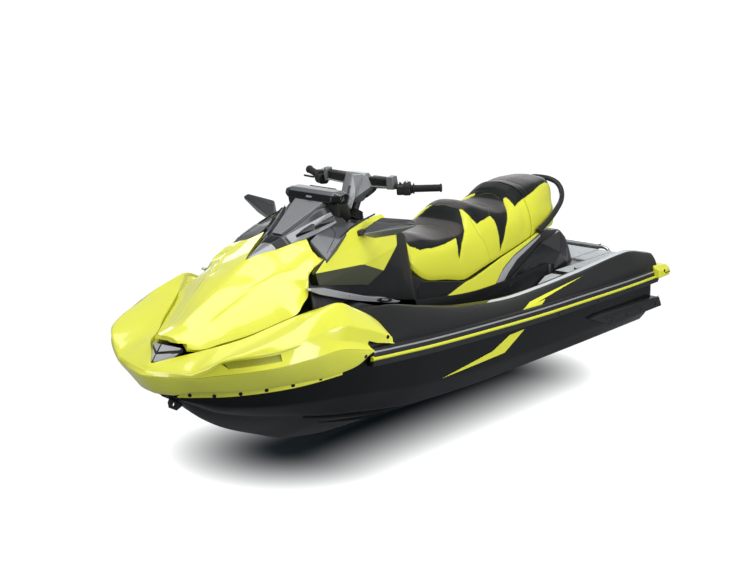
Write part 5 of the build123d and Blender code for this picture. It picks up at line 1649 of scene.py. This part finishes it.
class CRAFT_OT_rails(Operator):
    """Rub rails with a lime bead and a silver line, stern corner caps and sponsons"""
    bl_idname = "craft.rails"
    bl_label = "Rails and sponsons"

    def execute(self, context):
        parts = []
        for side in (1, -1):
            def mark(shape):
                return [(a * side, b) for a, b in shape][::side]
            base = sweep("rail", rail_line(928, -1700, side), mark(
                [(-16, -44), (8, -40), (13, -18), (13, -12), (17, 8), (11, 11), (9, 20), (8, 23), (5, 42), (-16, 44)]),
                width=1.5)
            bead = sweep("bead", rail_line(940, -1690, side), mark(
                [(8 + 12.5 * math.cos(a), -2 + 10.5 * math.sin(a)) for a in
                 [math.radians(-90 + 180 * i / 10) for i in range(11)]] + [(2, 8), (2, -12)]), width=0)
            line = sweep("line", rail_line(925, -1690, side), mark(
                [(6, 24), (11, 24), (10, 31), (5, 31)]), width=0.8)
            parts += [paint(base, "rubber"), paint(bead, "bead"), paint(line, "silver")]
        rails = join("Rub_rails", *parts)
        place(rails, "craft", "bumper_rubber", "rub_rails")
        caps = gem("caps", [(-1702, 470, 462), (-1784, 470, 464), (-1784, 470, 508), (-1702, 470, 528),
            (-1640, 540, 448), (-1782, 556, 454), (-1782, 556, 510), (-1640, 552, 520), (-1640, 594, 458),
            (-1752, 596, 462), (-1752, 596, 500), (-1640, 594, 502)], 7, 4, mirrored=True)
        paint(caps, "bead")
        # painted shade: a dark olive line along the groove of the caps
        groove = gem("groove", [(-1648, 560, 478), (-1700, 597, 476), (-1752, 597.5, 477), (-1786, 558, 479),
            (-1648, 560, 484), (-1700, 597, 482), (-1752, 597.5, 483), (-1786, 558, 485)], 0, mirrored=True)
        caps = join("Stern_corner_caps", caps, paint(groove, "olive_dark_and_shade"))
        place(caps, "craft", "lime_gloss", "stern_corner_caps")
        for name, side in (("sponson_port", 1), ("sponson_starboard", -1)):
            body = gem("body", sided((
                (-905, 512, 372), (-1112, 505, 300), (-1685, 505, 298), (-1656, 505, 350), (-1000, 505, 384),
                (-910, 586, 368), (-1122, 589, 292), (-1688, 589, 293), (-1656, 589, 348), (-1000, 588, 375)), side),
                5, 3)
            fin = gem("fin", sided((
                (-1080, 590, 330), (-1120, 591, 296), (-1680, 591, 296), (-1668, 591, 322), (-1080, 560, 330),
                (-1120, 560, 296), (-1680, 560, 296), (-1668, 560, 322)), side), 3, 2)
            ribs = []
            for z in (334, 341, 348, 355):
                ribs.append([at(x, side * 588.5, z) for x in (-1010 - (355 - z) * 3.2, -1652 - (348 - z) * 0.4)])
            lines = grow("ribs", "bars", "rubber", lines=ribs, radius=0.0016)
            pad = join(name.capitalize(), paint(body, "rubber"), paint(fin, "rubber"), lines)
            place(pad, "craft", "black_matte", name)
        return {"FINISHED"}


class CRAFT_OT_mats(Operator):
    """Light ribbed mats: gunwale strips, platform walls and ribs on the deck and footwell mats"""
    bl_idname = "craft.mats"
    bl_label = "Mats"

    def execute(self, context):
        strips = []
        for side in (1, -1):
            rings = []
            for i in range(101):
                x = -80 - 1600 * i / 100
                zt = row_at(DECK, x)[6]
                wide = min(1.0, i / 4.0)
                y0, y1 = 488 - 24 * wide, 490
                rings.append([at(x, side * y, z) for y, z in ((y0, zt - 2), (y1, zt - 2), (y1 + 2, zt + 1), (y1 - 1,
                    zt + 3.5), (y0 + 2, zt + 3.5))])
            strips.append(soften(solid("strip", rings), 1, 2))
            rings = []
            for i in range(41):
                x = -1008 - 680 * i / 40
                zt = row_at(DECK, x)[6]
                rings.append([at(x, side * y, z) for y, z in ((448, 560), (456, 560), (456, zt - 4), (466, zt + 3),
                    (464, zt + 3.5), (450, zt - 8))])
            strips.append(soften(solid("wall", rings), 1, 2))
        strips.append(slab("ramps", [(-1012, 557), (-930, 553), (-850, 515), (-690, 380), (-690, 366), (-1012, 366)],
            "Y", 282, 440, 4, mirrored=True))
        mats = join("Gunwale_mats", *strips)
        place(paint(mats, "mat"), "craft", "mat_grey")
        ribs = []
        for lo, hi, x0, x1, z in ((-444, -264, -1684, -1016, 556), (264, 444, -1684, -1016, 556),
                (-168, 168, -1684, -1404, 556), (184, 252, -1684, -1404, 556), (-252, -184, -1684, -1404, 556),
                (284, 436, -982, 686, 366), (-436, -284, -982, 686, 366)):
            count = int((hi - lo) / RIB_PITCH)
            for i in range(count + 1):
                y = lo + (hi - lo) * i / count
                ribs.append([at(x0, y, z), at(x1, y, z)])
        rows = grow("Mat_ribs", "bars", "mat", lines=ribs, radius=RIB_RADIUS)
        place(rows, "craft", "mat_grey")
        return {"FINISHED"}


class CRAFT_OT_fasteners(Operator):
    """Bolts of the bow flange, fender, fairing, sponsons, stern caps and rub rails"""
    bl_idname = "craft.fasteners"
    bl_label = "Fasteners"

    def execute(self, context):
        style = context.scene.craft_style
        spots = []
        def seek(piece, x, y, z, way):
            tree = trees.setdefault(piece, surface(bpy.data.objects[piece]))
            hit, normal = lay(tree, at(x, y, z) - Vector(way) * 0.3, Vector(way), 0.6)
            if hit is not None:
                spots.append((hit, normal))
        trees = {}
        for side in (1, -1):
            for x, y, z in ((1604, 92, 461), (1540, 172, 461), (1470, 262, 470), (1385, 332, 482), (1290, 398, 496),
                    (1180, 470, 508)):
                seek("Bond_flange", x, y * side, z, (-0.5, -0.85 * side, 0))
            seek("Nose_fender", 826, 570 * side, 636, (0, -side, 0))
            seek("Bow_fairing", 1000, 588 * side, 586, (0, -side, 0))
            for x in (-1130, -1290, -1450, -1610):
                seek("Sponson_port" if side == 1 else "Sponson_starboard", x, 580 * side, 318, (0, -side, 0))
            seek("Stern_corner_caps", -1690, 580 * side, 494, (0, -side, 0))
            for x in (-600, -1000, -1400):
                seek("Rub_rails", x, 600 * side, row_at(RUB_RAIL, x)[2] - 28, (0, -side, 0))
        bolts = grow("Bolts", "fasteners", "gloss_black", points=spots, head_radius=style.head_radius)
        place(bolts, "craft", "black_matte")
        return {"FINISHED"}


# ---------------------------------------------------------------- stage
class CRAFT_OT_stage(Operator):
    """Floor with a painted shadow round the craft that turns white further out, soft light and the camera"""
    bl_idname = "craft.stage"
    bl_label = "Stage"

    def execute(self, context):
        scene = context.scene
        z = CAD_BOX[0][2] - FLOOR_GAP
        me = bpy.data.meshes.new("Floor")
        me.from_pydata([(x * FLOOR_HALF, y * FLOOR_HALF, z) for x, y in ((-1, -1), (1, -1), (1, 1), (-1, 1))], [],
            [(0, 1, 2, 3)])
        floor = linked("Floor", me)
        mat, tree, shader, away = new_material("Pale floor")
        seen = node(tree, "ShaderNodeLightPath").outputs["Is Camera Ray"]
        # Camera rays see a near-black floor and light bounces off a grey one; the glow added below whitens the seen
        # floor away from the craft, so the dark pool round it is a painted shadow
        colour = blend_colour(tree, seen, (0.34, 0.36, 0.38), (0.016, 0.030, 0.038))
        for operation, second in (("MULTIPLY", {1: (1, 1, 0)}), ("ABSOLUTE", {}), ("SUBTRACT", {1: (0.85, 0, 0)}),
                ("MAXIMUM", {1: (0, 0, 0)})):
            away = node(tree, "ShaderNodeVectorMath", {0: away, **second}, operation=operation).outputs[0]
        away = node(tree, "ShaderNodeVectorMath", {0: away}, operation="LENGTH").outputs["Value"]
        # painted shadow: the glow is nil within 5 cm of a 1.7 m line under the craft and full white 56 cm out, rising
        # by its square in between
        glow = spread(tree, away, 0.0, 1.0, 0.05, 0.56)
        glow = reckon(tree, reckon(tree, glow, "MULTIPLY", glow), "MULTIPLY", seen)
        feed(tree, shader, {"Base Color": colour, "Roughness": 0.9, "Specular IOR Level": 0.1,
            "Emission Color": (1, 1, 1, 1), "Emission Strength": glow})
        me.materials.append(mat)
        world = bpy.data.worlds.new("Studio")
        scene.world = world
        world.use_nodes = True
        wt = world.node_tree
        path = node(wt, "ShaderNodeLightPath")
        bright = spread(wt, path.outputs["Is Glossy Ray"], 0.36, 0.48)
        bright = reckon(wt, bright, "MAXIMUM", path.outputs["Is Camera Ray"])
        feed(wt, wt.nodes["Background"], {0: (1, 1, 1, 1), 1: bright})
        for name, spot, size, power in (("Top softbox", (0.6, 0.4, 4.2), (5.0, 3.0), 135.0), ("Bow softbox",
                (5.2, -1.6, 3.0), (2.6, 2.0), 70.0), ("Port softbox", (0.2, 5.4, 1.9), (4.0, 2.4), 160.0),
                ("Back softbox", (-4.8, -3.8, 1.7), (6.0, 2.6), 75.0)):
            lamp = bpy.data.lights.new(name, "AREA")
            lamp.shape = "RECTANGLE"
            lamp.size, lamp.size_y = size
            lamp.energy = power
            obj = linked(name, lamp)
            obj.location = spot
            obj.visible_camera = False
            obj.rotation_mode = "QUATERNION"
            obj.rotation_quaternion = (Vector(spot) - Vector((0, 0, 0.2))).to_track_quat("Z", "Y")
        scene.view_settings.view_transform = "Standard"
        cam = bpy.data.cameras.new("Camera")
        cam.lens = 81.93
        cam.sensor_width = 36.0
        obj = linked("Camera", cam)
        heading, pitch, roll = 3.80159396, 0.23381008, 0.00720878
        d = Vector((math.cos(heading) * math.cos(pitch), math.sin(heading) * math.cos(pitch), -math.sin(pitch)))
        r = Vector((math.sin(heading), -math.cos(heading), 0.0))
        u = r.cross(d)
        right = r * math.cos(roll) + u * math.sin(roll)
        up = u * math.cos(roll) - r * math.sin(roll)
        turn = Matrix((right, up, -d)).transposed()
        eye = (6.6614, 5.0250, 2.6398 - WATERLINE / 1000)
        obj.matrix_world = Matrix.Translation(eye) @ turn.to_4x4()
        scene.camera = obj
        return {"FINISHED"}


class CRAFT_PT_panel(Panel):
    """Lists the pieces and the sizes and colours"""
    bl_idname = "CRAFT_PT_panel"
    bl_label = "Runabout watercraft"
    bl_space_type = "VIEW_3D"
    bl_region_type = "UI"
    bl_category = "Watercraft"

    def draw(self, context):
        style = context.scene.craft_style
        for name in style.__annotations__:
            self.layout.prop(style, name)
        for operator in OPERATORS:
            self.layout.operator(operator.bl_idname)


OPERATORS = (CRAFT_OT_finishes, CRAFT_OT_hull, CRAFT_OT_deck, CRAFT_OT_nose, CRAFT_OT_badge, CRAFT_OT_hood,
    CRAFT_OT_console, CRAFT_OT_cowl, CRAFT_OT_display, CRAFT_OT_side_covers, CRAFT_OT_steering, CRAFT_OT_seats,
    CRAFT_OT_seat_base, CRAFT_OT_rails, CRAFT_OT_mats, CRAFT_OT_fasteners, CRAFT_OT_stage)


def register():
    for cls in (CraftStyle, *OPERATORS, CRAFT_PT_panel):
        bpy.utils.register_class(cls)
    bpy.types.Scene.craft_style = PointerProperty(type=CraftStyle)


def unregister():
    del bpy.types.Scene.craft_style
    for cls in reversed((CraftStyle, *OPERATORS, CRAFT_PT_panel)):
        bpy.utils.unregister_class(cls)


def main():
    register()
    for operator in OPERATORS:
        group, name = operator.bl_idname.split(".")
        getattr(getattr(bpy.ops, group), name)()


if __name__ == "__main__":
    main()
